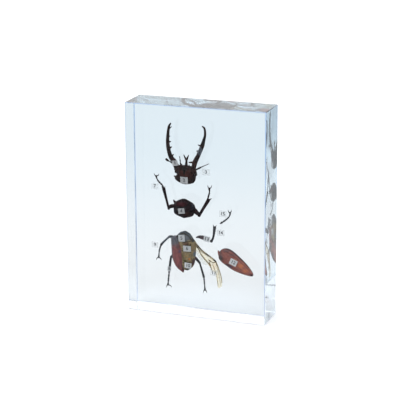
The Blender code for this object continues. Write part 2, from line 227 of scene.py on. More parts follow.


# Painted light and shade on the floor: tones for what shows through the resin and for what the block's front
# mirrors, and a glow beside the block for the camera.
def floorColor(tree, place, sight):
    far = calculateVector(tree, "LENGTH", place)["Value"]
    through = mixColors(tree, fade(tree, far, studio["floorFade"]), studio["floorNear"], studio["floorFar"])
    through = mixColors(tree, fade(tree, far, studio["horizonFade"]), through, studio["floorPale"])
    through = mixColors(tree, fade(tree, far, studio["floorCloseFade"]), studio["floorClosePaintedLight"], through)
    half = [reach * mm for reach in studio["floorUnderHalf"]]
    scaled = calculateVector(tree, "DIVIDE", place, half)["Vector"]
    sized = calculateVector(tree, "ABSOLUTE", scaled)["Vector"]
    sides = addNode(tree, "SeparateXYZ", {"Vector": sized}).outputs
    beyond = mapRange(tree, calculate(tree, "MAXIMUM", sides["X"], sides["Y"]), *studio["floorUnderEdge"])
    through = mixColors(tree, beyond, studio["floorUnderPaintedLight"], through)
    turned = calculate(tree, "GREATER_THAN", sight["Ray Depth"], studio["manyTurns"])
    deep = calculate(tree, "MULTIPLY", turned, fade(tree, far, studio["floorDeepFade"]))
    through = mixColors(tree, deep, through, studio["floorDeepPaintedShade"])
    color = mixColors(tree, sight["Is Camera Ray"], through, studio["floorPale"])
    depth = addNode(tree, "SeparateXYZ", {"Vector": place}).outputs["Y"]
    front = fade(tree, depth, studio["floorMirroredFade"])
    mirrored = calculate(tree, "MULTIPLY", front, sight["Is Reflection Ray"])
    color = mixColors(tree, mirrored, color, studio["floorMirroredPaintedShade"])
    worn = mapRange(tree, noiseAt(tree, place, studio["floorGrain"], 3.0), *studio["floorWorn"])
    color = mixColors(tree, worn, color, studio["floorFar"])
    glow = fade(tree, far, studio["floorGlowFade"], studio["floorGlowPaintedLight"], 0.0)
    return color, calculate(tree, "MULTIPLY", glow, sight["Is Camera Ray"])


def addFloor():
    look, tree, shader = newMaterial("pale floor")
    color, glow = floorColor(tree, objectPlace(tree), addNode(tree, "LightPath").outputs)
    fillSockets(tree, shader, {
        "Base Color": color,
        "Roughness": studio["floorRoughness"],
        "Specular IOR Level": studio["floorGloss"],
        "Emission Strength": glow,
        "Emission Color": studio["floorPale"]})
    shape = bmesh.new()
    bmesh.ops.create_grid(shape, x_segments=1, y_segments=1, size=studio["floorSize"] / 2 * mm)
    bmesh.ops.translate(shape, vec=(0.0, 0.0, -studio["floorDrop"] * mm), verts=shape.verts)
    addItem("floor", meshFrom("floor", shape, [look]))


def addStudio():
    scene = bpy.context.scene
    scene.view_settings.view_transform = "Standard"
    for kind, count in studio["bounces"].items():
        setattr(scene.cycles, kind + "_bounces", count)
    addWorld()
    addKeyLight()
    addFloor()


# Shared shader groups. They all take object coordinates in metres and scale them to millimetres.
patterns = {
    "blotGrain": 1.1,
    "blotRagged": 0.6,  # how far the grain pushes the edge of a blot in and out
    "blotDepth": 9.0,  # reach in Y of a blot that goes right through a piece
    "cloudEdges": (0.33, 0.67),
    "cloudRoughness": 0.6,
    "pitEdges": (0.05, 0.4),
    "foldSize": 2.4,
    "streakStretch": (0.16, 0.6, 2.1),
    "streakRoughness": 0.65,
    "streakEdges": (0.42, 0.66),
}


def newGroup(name, inputs, outputs):
    group = bpy.data.node_groups.new(name, "ShaderNodeTree")
    for way, sockets in (("INPUT", inputs), ("OUTPUT", outputs)):
        for label, kind in sockets.items():
            group.interface.new_socket(name=label, in_out=way, socket_type="NodeSocket" + kind)
    return group, group.nodes.new("NodeGroupInput").outputs, group.nodes.new("NodeGroupOutput").inputs


def inMillimetres(tree, place):
    return addNode(tree, "VectorMath", {"Vector": place, "Scale": 1 / mm},
                   operation="SCALE").outputs["Vector"]


# A soft-edged blot of colour with a ragged outline, centred on a place.
def makeBlotGroup():
    group, given, result = newGroup(
        "colour blot", {"Place": "Vector", "Centre": "Vector", "Reach": "Vector", "Core": "Float",
                        "Strength": "Float"}, {"Amount": "Float"})
    place = inMillimetres(group, given["Place"])
    offset = calculateVector(group, "SUBTRACT", place, given["Centre"])["Vector"]
    scaled = calculateVector(group, "DIVIDE", offset, given["Reach"])["Vector"]
    far = calculateVector(group, "LENGTH", scaled)["Value"]
    grain = noiseAt(group, place, patterns["blotGrain"], 3.0)
    pushed = calculate(group, "MULTIPLY_ADD", grain, patterns["blotRagged"], far)
    edge = calculate(group, "SUBTRACT", pushed, patterns["blotRagged"] / 2)
    amount = calculate(group, "MULTIPLY", mapRange(group, edge, 1.0, given["Core"]), given["Strength"])
    group.links.new(amount, result["Amount"])
    return group


# Cloudy variation between two colours.
def makeMottleGroup():
    group, given, result = newGroup(
        "mottle", {"Place": "Vector", "Size": "Float", "Dark": "Color", "Light": "Color"},
        {"Color": "Color", "Amount": "Float"})
    place = inMillimetres(group, given["Place"])
    cloud = noiseAt(group, place, given["Size"], 4.0, patterns["cloudRoughness"])
    amount = mapRange(group, cloud, *patterns["cloudEdges"])
    group.links.new(mixColors(group, amount, given["Dark"], given["Light"]), result["Color"])
    group.links.new(amount, result["Amount"])
    return group


# Fine pits and wrinkles, as a height.
def makePitsGroup():
    group, given, result = newGroup(
        "pits", {"Place": "Vector", "Size": "Float", "Wrinkles": "Float"}, {"Height": "Float"})
    place = inMillimetres(group, given["Place"])
    cells = addNode(group, "TexVoronoi", {"Vector": place, "Scale": given["Size"]}).outputs["Distance"]
    pits = mapRange(group, cells, *patterns["pitEdges"])
    folds = noiseAt(group, place, patterns["foldSize"], 5.0)
    group.links.new(calculate(group, "MULTIPLY_ADD", folds, given["Wrinkles"], pits), result["Height"])
    return group


# Long fine streaks that run along the piece, whose heading is an angle about Y.
def makeStreaksGroup():
    group, given, result = newGroup(
        "streaks", {"Place": "Vector", "Heading": "Float", "Strength": "Float"}, {"Amount": "Float"})
    place = inMillimetres(group, given["Place"])
    turned = addNode(group, "VectorRotate", {"Vector": place, "Angle": given["Heading"]},
                     rotation_type="Y_AXIS").outputs["Vector"]
    drawn = stretched(group, turned, patterns["streakStretch"])
    lines = noiseAt(group, drawn, 1.0, 4.0, patterns["streakRoughness"])
    lines = mapRange(group, lines, *patterns["streakEdges"])
    group.links.new(calculate(group, "MULTIPLY", lines, given["Strength"]), result["Amount"])
    return group


def makeGroups():
    return {"blot": makeBlotGroup(), "mottle": makeMottleGroup(), "pits": makePitsGroup(),
            "streaks": makeStreaksGroup()}


def useGroup(tree, name, inputs):
    return addNode(tree, "Group", inputs, node_tree=groups[name]).outputs


def mottled(tree, place, size, dark, light):
    return useGroup(tree, "mottle", {"Place": place, "Size": size, "Dark": dark, "Light": light})


# A blot is (centre, reach, core, strength, colour); some blots are painted highlights. One given in x and z
# alone goes right through.
def addBlots(tree, place, color, blots):
    for centre, reach, core, strength, tint in blots:
        if len(centre) == 2:
            centre, reach = (centre[0], 0.0, centre[1]), (reach[0], patterns["blotDepth"], reach[1])
        amount = useGroup(tree, "blot", {"Place": place, "Centre": centre, "Reach": reach, "Core": core,
                                         "Strength": strength})["Amount"]
        color = mixColors(tree, amount, color, tint)
    return color


plainSkin = {  # what a skin has where its own look doesn't say
    "mottle": 0.9,
    "blots": (),
    "seamEdges": (-0.16, -0.02),
    "pits": 5.0,
    "wrinkles": 1.2,
    "bump": 0.5,
    "bumpRise": 0.05,
    "gloss": 0.3,
}


# Insect skin: mottled colour with blots, some of them painted highlights, darker seams, pits and wrinkles.
def skinMaterial(name, look):
    look = {**plainSkin, **look}
    material, tree, shader = newMaterial(name)
    place = objectPlace(tree)
    mottle = mottled(tree, place, look["mottle"], look["dark"], look["light"])
    color = addBlots(tree, place, mottle["Color"], look["blots"])
    if "streaks" in look:
        heading, strength, tint = look["streaks"]
        amount = useGroup(tree, "streaks", {"Place": place, "Heading": radians(heading),
                                            "Strength": strength})["Amount"]
        color = mixColors(tree, amount, color, tint)
    if "rim" in look:
        across = calculate(tree, "ABSOLUTE", attribute(tree, "across"))
        along = calculate(tree, "MULTIPLY_ADD", attribute(tree, "along"), 2.0, -1.0)
        sides = mapRange(tree, across, *look["rim"]["sides"])
        tips = mapRange(tree, calculate(tree, "ABSOLUTE", along), *look["rim"]["ends"])
        color = mixColors(tree, calculate(tree, "MAXIMUM", sides, tips), color, look["rim"]["color"])
    seams = mapRange(tree, attribute(tree, "groove"), *look["seamEdges"], 1.0, 0.0)
    pits = useGroup(tree, "pits", {"Place": place, "Size": look["pits"],
                                   "Wrinkles": look["wrinkles"]})["Height"]
    fillSockets(tree, shader, {
        "Base Color": mixColors(tree, seams, color, look["seam"]),
        "Roughness": mapRange(tree, mottle["Amount"], 0.0, 1.0, *look["roughness"]),
        "Normal": bumpNormal(tree, pits, look["bump"], look["bumpRise"]),
        "Specular IOR Level": look["gloss"]})
    return material


# Shaping tools. Shapes are worked on in millimetres and made metres by finishPiece.
def newShape():
    shape = bmesh.new()
    for name in ("along", "across", "groove"):
        shape.verts.layers.float.new(name)
    return shape


# Rows of numbers on a smooth curve through the given rows, about total of them.
def smoothRows(rows, total):
    last = len(rows) - 1
    parts = ceil(total / last)
    dense = []
    for index in range(last):
        spans = [rows[min(max(index + step, 0), last)] for step in (-1, 0, 1, 2)]
        for t in (part / parts for part in range(parts)):
            dense.append([
                q + 0.5 * t * (r - p + t * (2 * p - 5 * q + 4 * r - s + t * (3 * (q - r) + s - p)))
                for p, q, r, s in zip(*spans)])
    return [*dense, list(rows[-1])]


def turns(sides):
    return [2 * pi * corner / sides for corner in range(sides)]


# A closed skin over rings of points, extruded ring by ring from the first.
def loft(shape, rings, look=0):
    along, across = (shape.verts.layers.float[name] for name in ("along", "across"))
    sides = len(rings[0])
    cap = bmesh.ops.create_circle(shape, cap_ends=True, segments=sides, radius=1.0)["verts"][0].link_faces[0]
    verts = []
    for index, ring in enumerate(rings):
        if index:
            cap = bmesh.ops.extrude_discrete_faces(shape, faces=[cap])["faces"][0]
        for vert, spot, turn in zip(cap.verts, ring, turns(sides)):
            vert.co = spot
            vert[along] = index / (len(rings) - 1)
            vert[across] = cos(turn)
            verts.append(vert)
    rim = {edge for vert in verts[:sides] for edge in vert.link_edges if edge.is_boundary}
    bmesh.ops.holes_fill(shape, edges=list(rim))
    faces = {face for vert in verts for face in vert.link_faces}
    for face in faces:
        face.material_index = look
    bmesh.ops.recalc_face_normals(shape, faces=list(faces))
    return verts


# Rings of a rounded body. A rib is (left, right, rise to the front, rise to the back).
def ribRings(ribs, sides, total):
    rows = smoothRows([[*left, *right, front, back] for left, right, front, back in ribs], total)
    rings = []
    for leftX, leftZ, rightX, rightZ, front, back in closedEnds(rows):
        middle = Vector(((leftX + rightX) / 2, limbPlane, (leftZ + rightZ) / 2))
        half = Vector(((rightX - leftX) / 2, 0.0, (rightZ - leftZ) / 2))
        rings.append([
            middle + half * cos(turn) - Vector((0.0, (front if sin(turn) > 0 else back) * sin(turn), 0.0))
            for turn in turns(sides)])
    return rings


ribRounds = ((0.3, 0.4), (0.75, 0.25))  # size and reach of the ribs past an end, from the outermost


# Two smaller ribs beyond each end, so that a body closes in a round and not in a flat.
def closedEnds(rows):
    middles = [Vector(((row[0] + row[2]) / 2, (row[1] + row[3]) / 2)) for row in rows]

    def shrunk(end, inner, size, reach):
        row, middle = rows[end], middles[end]
        spot = middle + (middle - middles[inner]).normalized() * reach
        left, right = (spot + (Vector(row[at:at + 2]) - middle) * size for at in (0, 2))
        return [*left, *right, row[4] * size, row[5] * size]

    front = [shrunk(0, 1, *form) for form in ribRounds]
    return front + rows + [shrunk(-1, -2, *form) for form in reversed(ribRounds)]


tubeRounds = ((0.35, 0.55), (0.75, 0.35))  # the same for a tube, in its radii


# A tapering tube with round ends. A path holds (x, z, radius) or (x, z, radius, y).
def tube(shape, path, sides=12, total=16, flat=1.0, look=0, joints=()):
    rows = smoothRows([(*spot, limbPlane)[:4] for spot in path], total)
    if joints:
        rows = segmented(rows, joints)
    last = len(rows) - 1
    rings = []
    for index, (x, z, radius, y) in enumerate(rows):
        ahead, behind = rows[min(index + 1, last)], rows[max(index - 1, 0)]
        heading = Vector((ahead[0] - behind[0], ahead[3] - behind[3], ahead[1] - behind[1])).normalized()
        side = heading.cross(Vector((0.0, 1.0, 0.0))).normalized()
        up = side.cross(heading)
        spot = Vector((x, y, z))

        def ring(size, reach=0.0):
            centre = spot + heading * reach * radius
            return [centre + (side * cos(turn) + up * sin(turn) * flat) * radius * size
                    for turn in turns(sides)]

        if index == 0:
            rings += [ring(size, -reach) for size, reach in tubeRounds]
        rings.append(ring(1.0))
        if index == last:
            rings += [ring(size, reach) for size, reach in reversed(tubeRounds)]
    return loft(shape, rings, look)


jointForm = {"waist": 0.68, "swell": 0.55, "curve": 1.3, "lastWaist": 0.62, "lastSwell": 0.4}


# Swells the rows of a tube towards each joint and pinches them just past it.
def segmented(rows, joints):
    edges = [0.0, *joints, 1.0]
    shaped = []
    for index, (x, z, radius, y) in enumerate(rows):
        at = index / (len(rows) - 1)
        piece = max(number for number, edge in enumerate(edges[:-1]) if at >= edge - 1e-6)
        phase = (at - edges[piece]) / (edges[piece + 1] - edges[piece])
        size = jointForm["lastWaist"] + jointForm["lastSwell"] * phase
        if piece < len(joints):
            size = jointForm["waist"] + jointForm["swell"] * phase ** jointForm["curve"]
        shaped.append((x, z, radius * size, y))
    return shaped


def spike(shape, path, sides=8, look=0):
    return tube(shape, path, sides=sides, total=6, look=look)


def ball(shape, centre, radii, look=0, steps=16):
    made = bmesh.ops.create_uvsphere(shape, u_segments=steps, v_segments=steps * 3 // 4, radius=1.0)["verts"]
    bmesh.ops.scale(shape, vec=radii, verts=made)
    bmesh.ops.translate(shape, vec=centre, verts=made)
    for face in {face for vert in made for face in vert.link_faces}:
        face.material_index = look
    return made


def nearestOnLine(spot, points):
    best = 1e9
    for start, end in zip(points, points[1:]):
        run = end - start
        t = min(max((spot - start).dot(run) / max(run.length_squared, 1e-9), 0.0), 1.0)
        best = min(best, (spot - start - run * t).length)
    return best


carving = {
    "facing": 1.6,  # how late a mark fades where the skin turns to the side
    "reach": 3.0,  # half widths past which a mark has no effect
    "waveSize": 0.9,
}


# Raises or cuts soft lines in the skin. A mark is (points, half width, height, side).
def carve(shape, verts, marks, waves=0.0):
    groove = shape.verts.layers.float["groove"]
    marks = [([Vector(spot) for spot in points], *form) for points, *form in marks]
    for vert in verts:
        vert.normal_update()
    moves = []
    for vert in verts:
        spot = Vector((vert.co.x, vert.co.z))
        facing = min(abs(vert.normal.y) * carving["facing"], 1.0)
        lift = 0.0
        for points, width, height, side in marks:
            if side == "front" and vert.normal.y > 0 or side == "back" and vert.normal.y < 0:
                continue
            far = nearestOnLine(spot, points) if len(points) > 1 else (spot - points[0]).length
            if far < carving["reach"] * width:
                lift += height * exp(-(far / width) ** 2)
        moves.append(lift * facing + waves * noise.noise(vert.co * carving["waveSize"]))
    for vert, lift in zip(verts, moves):
        vert.co += vert.normal * lift
        vert[groove] = lift


def finishPiece(name, shape, looks, nodes=()):
    bmesh.ops.scale(shape, vec=(mm, mm, mm), verts=shape.verts)
    mesh = meshFrom(name, shape, looks)
    mesh.shade_smooth()
    mesh.set_sharp_from_angle(angle=smoothBelow)
    piece = addItem(name, mesh)
    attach(piece, "root")
    if nodes:
        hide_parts(*nodes)
    return piece


resin = {
    "bevel": 0.35,
    "bevelSteps": 3,
    "ior": 1.5,
    "color": (1.0, 1.0, 1.0),
    "absorbColor": (0.58, 0.82, 1.00),
    "absorbDensity": 3.0,
    "roughness": (0.0, 0.07),  # polished large faces, narrow faces a little less so
    "waves": (70.0, 110.0, 70.0),
    "waveHeight": 0.06,
    "flatAbove": 0.999,  # the normals of the six large faces, which are optically flat, unlike the bevels
}


def resinMaterial():
    look, tree, shader = newMaterial("clear resin")
    sawn = attribute(tree, "sawn")
    waves = noiseAt(tree, stretched(tree, objectPlace(tree), resin["waves"]), 1.0, 2.0)
    fillSockets(tree, shader, {
        "Base Color": resin["color"],
        "Roughness": mapRange(tree, sawn, 0.0, 1.0, *resin["roughness"]),
        "Normal": bumpNormal(tree, calculate(tree, "MULTIPLY", waves, sawn), 1.0, resin["waveHeight"]),
        "IOR": resin["ior"],
        "Transmission Weight": 1.0})
    inside = addNode(tree, "VolumeAbsorption", {"Color": resin["absorbColor"],
                                                "Density": resin["absorbDensity"]}).outputs["Volume"]
    fillSockets(tree, tree.nodes["Material Output"], {"Volume": inside})
    return look


def addBlock():
    low, high = (Vector(corner) / mm for corner in cadBounds)
    shape = newShape()
    bmesh.ops.create_cube(shape, size=1.0)
    bmesh.ops.scale(shape, vec=high - low, verts=shape.verts)
    bmesh.ops.translate(shape, vec=(low + high) / 2, verts=shape.verts)
    bmesh.ops.bevel(shape, geom=shape.edges, offset=resin["bevel"], segments=resin["bevelSteps"],
                    profile=0.5, affect="EDGES", material=-1)
    sawn = shape.faces.layers.float.new("sawn")
    for face in shape.faces:
        face[sawn] = 1.0 if abs(face.normal.y) < 0.5 else 0.0
    block = finishPiece("resin_block", shape, [resinMaterial()], ("resin_front", "resin_back"))
    for face in block.data.polygons:
        face.use_smooth = max(abs(part) for part in face.normal) < resin["flatAbove"]
    print("the block is in")


# Head with its jaws, feelers and mouth parts
head = {
    "ribs": [
        ((-11.0, 78.7), (-5.9, 78.6), 1.2, 1.4),
        ((-13.1, 79.6), (-3.5, 79.4), 2.2, 2.4),
        ((-14.7, 80.9), (-2.3, 80.9), 2.8, 3.0),
        ((-14.8, 82.4), (-1.9, 82.5), 3.1, 3.3),
        ((-13.7, 83.7), (-1.8, 83.8), 3.2, 3.4),
        ((-14.2, 85.0), (-1.5, 85.1), 3.2, 3.4),
        ((-14.9, 86.8), (-1.3, 86.2), 2.9, 3.2),
        ((-14.7, 88.2), (-2.1, 87.8), 2.2, 2.8),
        ((-13.8, 89.2), (-3.7, 89.2), 1.4, 2.2),
    ],
    "marks": [
        ([(-8.2, 88.8), (-8.4, 83.8)], 0.32, -0.18, "front"),
        ([(-12.8, 88.8), (-11.6, 86.4), (-10.8, 84.0)], 0.55, 0.32, "front"),
        ([(-4.0, 88.6), (-5.3, 86.2), (-6.2, 84.0)], 0.55, 0.32, "front"),
        ([(-8.2, 87.8)], 1.8, -0.20, "front"),
        ([(-13.0, 81.9), (-8.4, 81.3), (-3.9, 81.9)], 0.30, -0.16, "front"),
        ([(-13.8, 86.2)], 0.9, 0.35, "front"),
        ([(-2.5, 85.6)], 0.9, 0.35, "front"),
        ([(-10.4, 88.6), (-9.7, 80.3)], 0.28, -0.20, "back"),
        ([(-6.3, 88.6), (-7.0, 80.3)], 0.28, -0.20, "back"),
        ([(-8.4, 87.6)], 1.9, 0.45, "back"),
    ],
    "spikes": [
        [(-13.8, 81.9, 1.00), (-15.4, 82.7, 0.26)],
        [(-14.1, 86.4, 0.80), (-15.2, 86.6, 0.30)],
        [(-13.9, 87.8, 0.80), (-15.0, 88.4, 0.26)],
        [(-12.8, 88.6, 0.60), (-13.0, 90.1, 0.18)],
        [(-10.5, 88.5, 0.70), (-10.5, 90.4, 0.18)],
        [(-6.1, 88.5, 0.60), (-6.0, 90.2, 0.18)],
    ],
    "eyes": [((-14.3, 0.9, 85.4), (0.75, 1.25, 1.05)), ((-1.8, 0.9, 84.8), (0.75, 1.25, 1.10))],
    "jawLeft": [
        (-13.2, 87.0, 1.78), (-14.2, 89.3, 1.74), (-15.2, 91.4, 1.62), (-16.7, 93.1, 1.48),
        (-18.0, 95.8, 1.30), (-18.8, 99.5, 1.20), (-19.1, 103.1, 1.08), (-18.9, 106.7, 0.96),
        (-18.5, 110.4, 0.78), (-18.0, 112.4, 0.66), (-17.0, 113.9, 0.38),
    ],
    "jawRight": [
        (-4.1, 86.8, 1.90), (-3.0, 89.6, 1.46), (-2.6, 91.4, 1.56), (-1.6, 93.6, 1.42), (0.0, 96.8, 1.22),
        (1.2, 99.7, 1.26), (2.2, 102.3, 1.24), (3.0, 105.1, 0.96), (3.8, 108.0, 0.76), (3.8, 110.8, 0.68),
        (3.3, 112.6, 0.60), (2.1, 113.4, 0.36),
    ],
    "teeth": [
        [(-18.4, 110.5, 0.50), (-17.5, 111.1, 0.36), (-16.5, 112.0, 0.15)],
        [(-18.8, 105.9, 0.60), (-18.0, 106.1, 0.40), (-17.5, 106.3, 0.18)],
        [(-18.9, 102.7, 0.80), (-17.9, 102.9, 0.55), (-17.1, 103.1, 0.22)],
        [(-18.5, 99.1, 0.90), (-17.5, 99.5, 0.62), (-16.6, 100.0, 0.24)],
        [(-17.2, 94.4, 0.90), (-16.2, 94.9, 0.56), (-15.5, 95.6, 0.22)],
        [(1.8, 102.1, 0.80), (0.7, 102.0, 0.50), (-0.5, 102.4, 0.24)],
        [(0.9, 98.7, 1.10), (-0.3, 98.5, 0.80), (-1.3, 98.7, 0.34)],
        [(0.2, 97.1, 0.80), (-0.7, 97.2, 0.42), (-1.2, 97.5, 0.20)],
        [(-2.4, 91.9, 0.95), (-3.9, 91.7, 0.62), (-6.1, 91.5, 0.36)],
    ],
    "feelerStalks": [
        [(-3.5, 86.7, 0.40), (-2.0, 87.4, 0.46), (0.1, 88.6, 0.52), (1.2, 89.2, 0.46)],
        [(-14.2, 88.0, 0.30), (-16.1, 89.9, 0.36), (-17.5, 90.9, 0.40)],
    ],
    "feelerBeads": [
        ([(1.3, 89.3, 0.32), (3.5, 90.4, 0.26), (6.1, 91.7, 0.22)], (0.17, 0.34, 0.5, 0.66, 0.82)),
        ([(-17.6, 91.0, 0.34), (-18.3, 91.2, 0.32), (-18.9, 91.5, 0.32)], (0.35, 0.7)),
    ],
    "clubs": [
        [(-18.6, 91.3, 0.42), (-19.6, 91.7, 0.60), (-20.5, 92.3, 0.38)],
        [(-18.5, 91.4, 0.36), (-19.4, 92.1, 0.44), (-20.2, 92.8, 0.28)],
    ],
    "lip": [(-7.7, 88.4, 1.15), (-7.7, 90.6, 0.82), (-7.6, 92.4, 0.66), (-7.6, 93.6, 0.72)],
    "lipFork": [
        [(-7.9, 93.0, 0.62), (-8.5, 94.3, 0.50), (-9.3, 95.8, 0.24)],
        [(-7.4, 93.0, 0.62), (-6.9, 94.4, 0.50), (-6.2, 95.8, 0.24)],
    ],
    "palp": ([(-11.1, 88.6, 0.42), (-11.4, 91.4, 0.38), (-11.8, 94.6, 0.27)], (0.4, 0.7)),
    "jawGroove": (0.22, -0.16, "front"),
    "look": {
        "dark": (0.012, 0.008, 0.009), "light": (0.036, 0.015, 0.013), "seam": (0.005, 0.004, 0.004),
        "mottle": 0.8, "pits": 4.5, "roughness": (0.32, 0.55), "gloss": 0.17,
        "blots": [
            ((-7.8, -2.0, 85.2), (5.4, 9.0, 4.2), 0.3, 0.85, (0.058, 0.015, 0.012)),
            ((-3.1, 91.4), (2.6, 3.0), 0.3, 0.7, (0.060, 0.022, 0.016)),
            # painted highlight: a blue-grey sheen on the right jaw
            ((0.9, 98.9), (2.4, 3.6), 0.3, 0.8, (0.150, 0.170, 0.200)),
            ((2.9, 105.4), (2.0, 3.2), 0.4, 0.7, (0.018, 0.022, 0.030)),
            ((-15.2, 91.4), (2.4, 2.4), 0.4, 0.6, (0.070, 0.028, 0.032)),
        ],
    },
    "eyeLook": {
        "dark": (0.012, 0.012, 0.013), "light": (0.030, 0.028, 0.030), "seam": (0.01, 0.01, 0.01),
        "pits": 9.0, "roughness": (0.15, 0.3), "gloss": 0.5, "bump": 0.8,
    },
}


def addHead():
    shape = newShape()
    capsule = loft(shape, ribRings(head["ribs"], sides=80, total=80))
    carve(shape, capsule, head["marks"], waves=0.06)
    for centre, radii in head["eyes"]:
        ball(shape, centre, radii, look=1, steps=20)
    for jaw in (head["jawLeft"], head["jawRight"]):
        skin = tube(shape, jaw, sides=20, total=90, flat=0.82)
        carve(shape, skin, [([spot[:2] for spot in jaw], *head["jawGroove"])], waves=0.05)
    for path in head["spikes"] + head["teeth"] + head["lipFork"]:
        tube(shape, path, total=10, flat=0.8)
    for path in head["feelerStalks"]:
        tube(shape, path)
    for path, joints in head["feelerBeads"] + [head["palp"]]:
        tube(shape, path, total=48, joints=joints)
    for path in head["clubs"]:
        tube(shape, path, total=14, flat=0.6)
    tube(shape, head["lip"], sides=16, total=24, flat=0.55)
    looks = [skinMaterial("head chitin", head["look"]), skinMaterial("compound eye", head["eyeLook"])]
    finishPiece("head_with_jaws", shape, looks, ("head",))
    print("head is in")


legForm = {
    "shinGroove": (0.16, -0.10, "front"),
    "knee": 1.1,  # its width in radii of the shin
    "footSwell": 1.3,  # the joints of a foot bulge past the plain foot of the source
    "footJoints": (0.17, 0.32, 0.46, 0.6),
    "clawBend": ((0.30, 0.70), (0.62, 0.38)),  # shares of wrist and tip, across and up
    "clawRadii": (0.34, 0.26, 0.11),
    "padReach": 0.55,
    "toothFirst": 0.35,  # share of the shin's length
    "toothStep": 0.14,
    "toothRoot": 0.6,  # in radii of the shin
    "toothTip": (0.28, 0.3),  # out of the shin and along it
    "thornRadii": (0.16, 0.05),
}


# A leg: thigh, shin with teeth and spurs, a foot of five joints and two claws
def addLeg(shape, leg, look=0):
    if "thigh" in leg:
        tube(shape, leg["thigh"], sides=18, total=28, flat=0.85, look=look)
    if "shin" in leg:
        skin = tube(shape, leg["shin"], sides=16, total=32, flat=0.8, look=look)
        carve(shape, skin, [([spot[:2] for spot in leg["shin"]], *legForm["shinGroove"])])
        x, z, radius = leg["shin"][0]
        knee = radius * legForm["knee"]
        ball(shape, (x, limbPlane, z), (knee, radius, knee), look=look, steps=12)
        addShinTeeth(shape, leg, look)
    for path in leg.get("spurs", ()):
        spike(shape, path, look=look)
    if "foot" in leg:
        foot = [(x, z, radius * legForm["footSwell"]) for x, z, radius in leg["foot"]]
        tube(shape, foot, total=70, look=look, joints=legForm["footJoints"])
    if "claws" in leg:
        addClaws(shape, *leg["claws"], look)


def addThorn(shape, root, tip, look):
    thick, thin = legForm["thornRadii"]
    spike(shape, [(*root, thick), (*tip, thin)], sides=6, look=look)


def addClaws(shape, wrist, first, second, look):
    (wristAcross, tipAcross), (wristUp, tipUp) = legForm["clawBend"]
    thick, middle, thin = legForm["clawRadii"]
    for tip in (first, second):
        bend = (wristAcross * wrist[0] + tipAcross * tip[0], wristUp * wrist[1] + tipUp * tip[1], middle)
        tube(shape, [(*wrist, thick), bend, (*tip, thin)], sides=8, total=12, look=look)
    spread = (Vector(first) + Vector(second)) / 2
    addThorn(shape, wrist, Vector(wrist).lerp(spread, legForm["padReach"]), look)


def addShinTeeth(shape, leg, look):
    rows = smoothRows(leg["shin"], 40)
    tipOut, tipAhead = legForm["toothTip"]
    for number in range(leg.get("teeth", 4)):
        at = int(len(rows) * (legForm["toothFirst"] + legForm["toothStep"] * number))
        x, z, radius = rows[at]
        spot = Vector((x, z))
        heading = Vector((rows[at + 1][0] - x, rows[at + 1][1] - z)).normalized()
        out = Vector((heading.y, -heading.x)) * leg.get("toothSide", 1)
        root = spot + out * radius * legForm["toothRoot"]
        addThorn(shape, root, spot + out * (radius + tipOut) + heading * tipAhead, look)


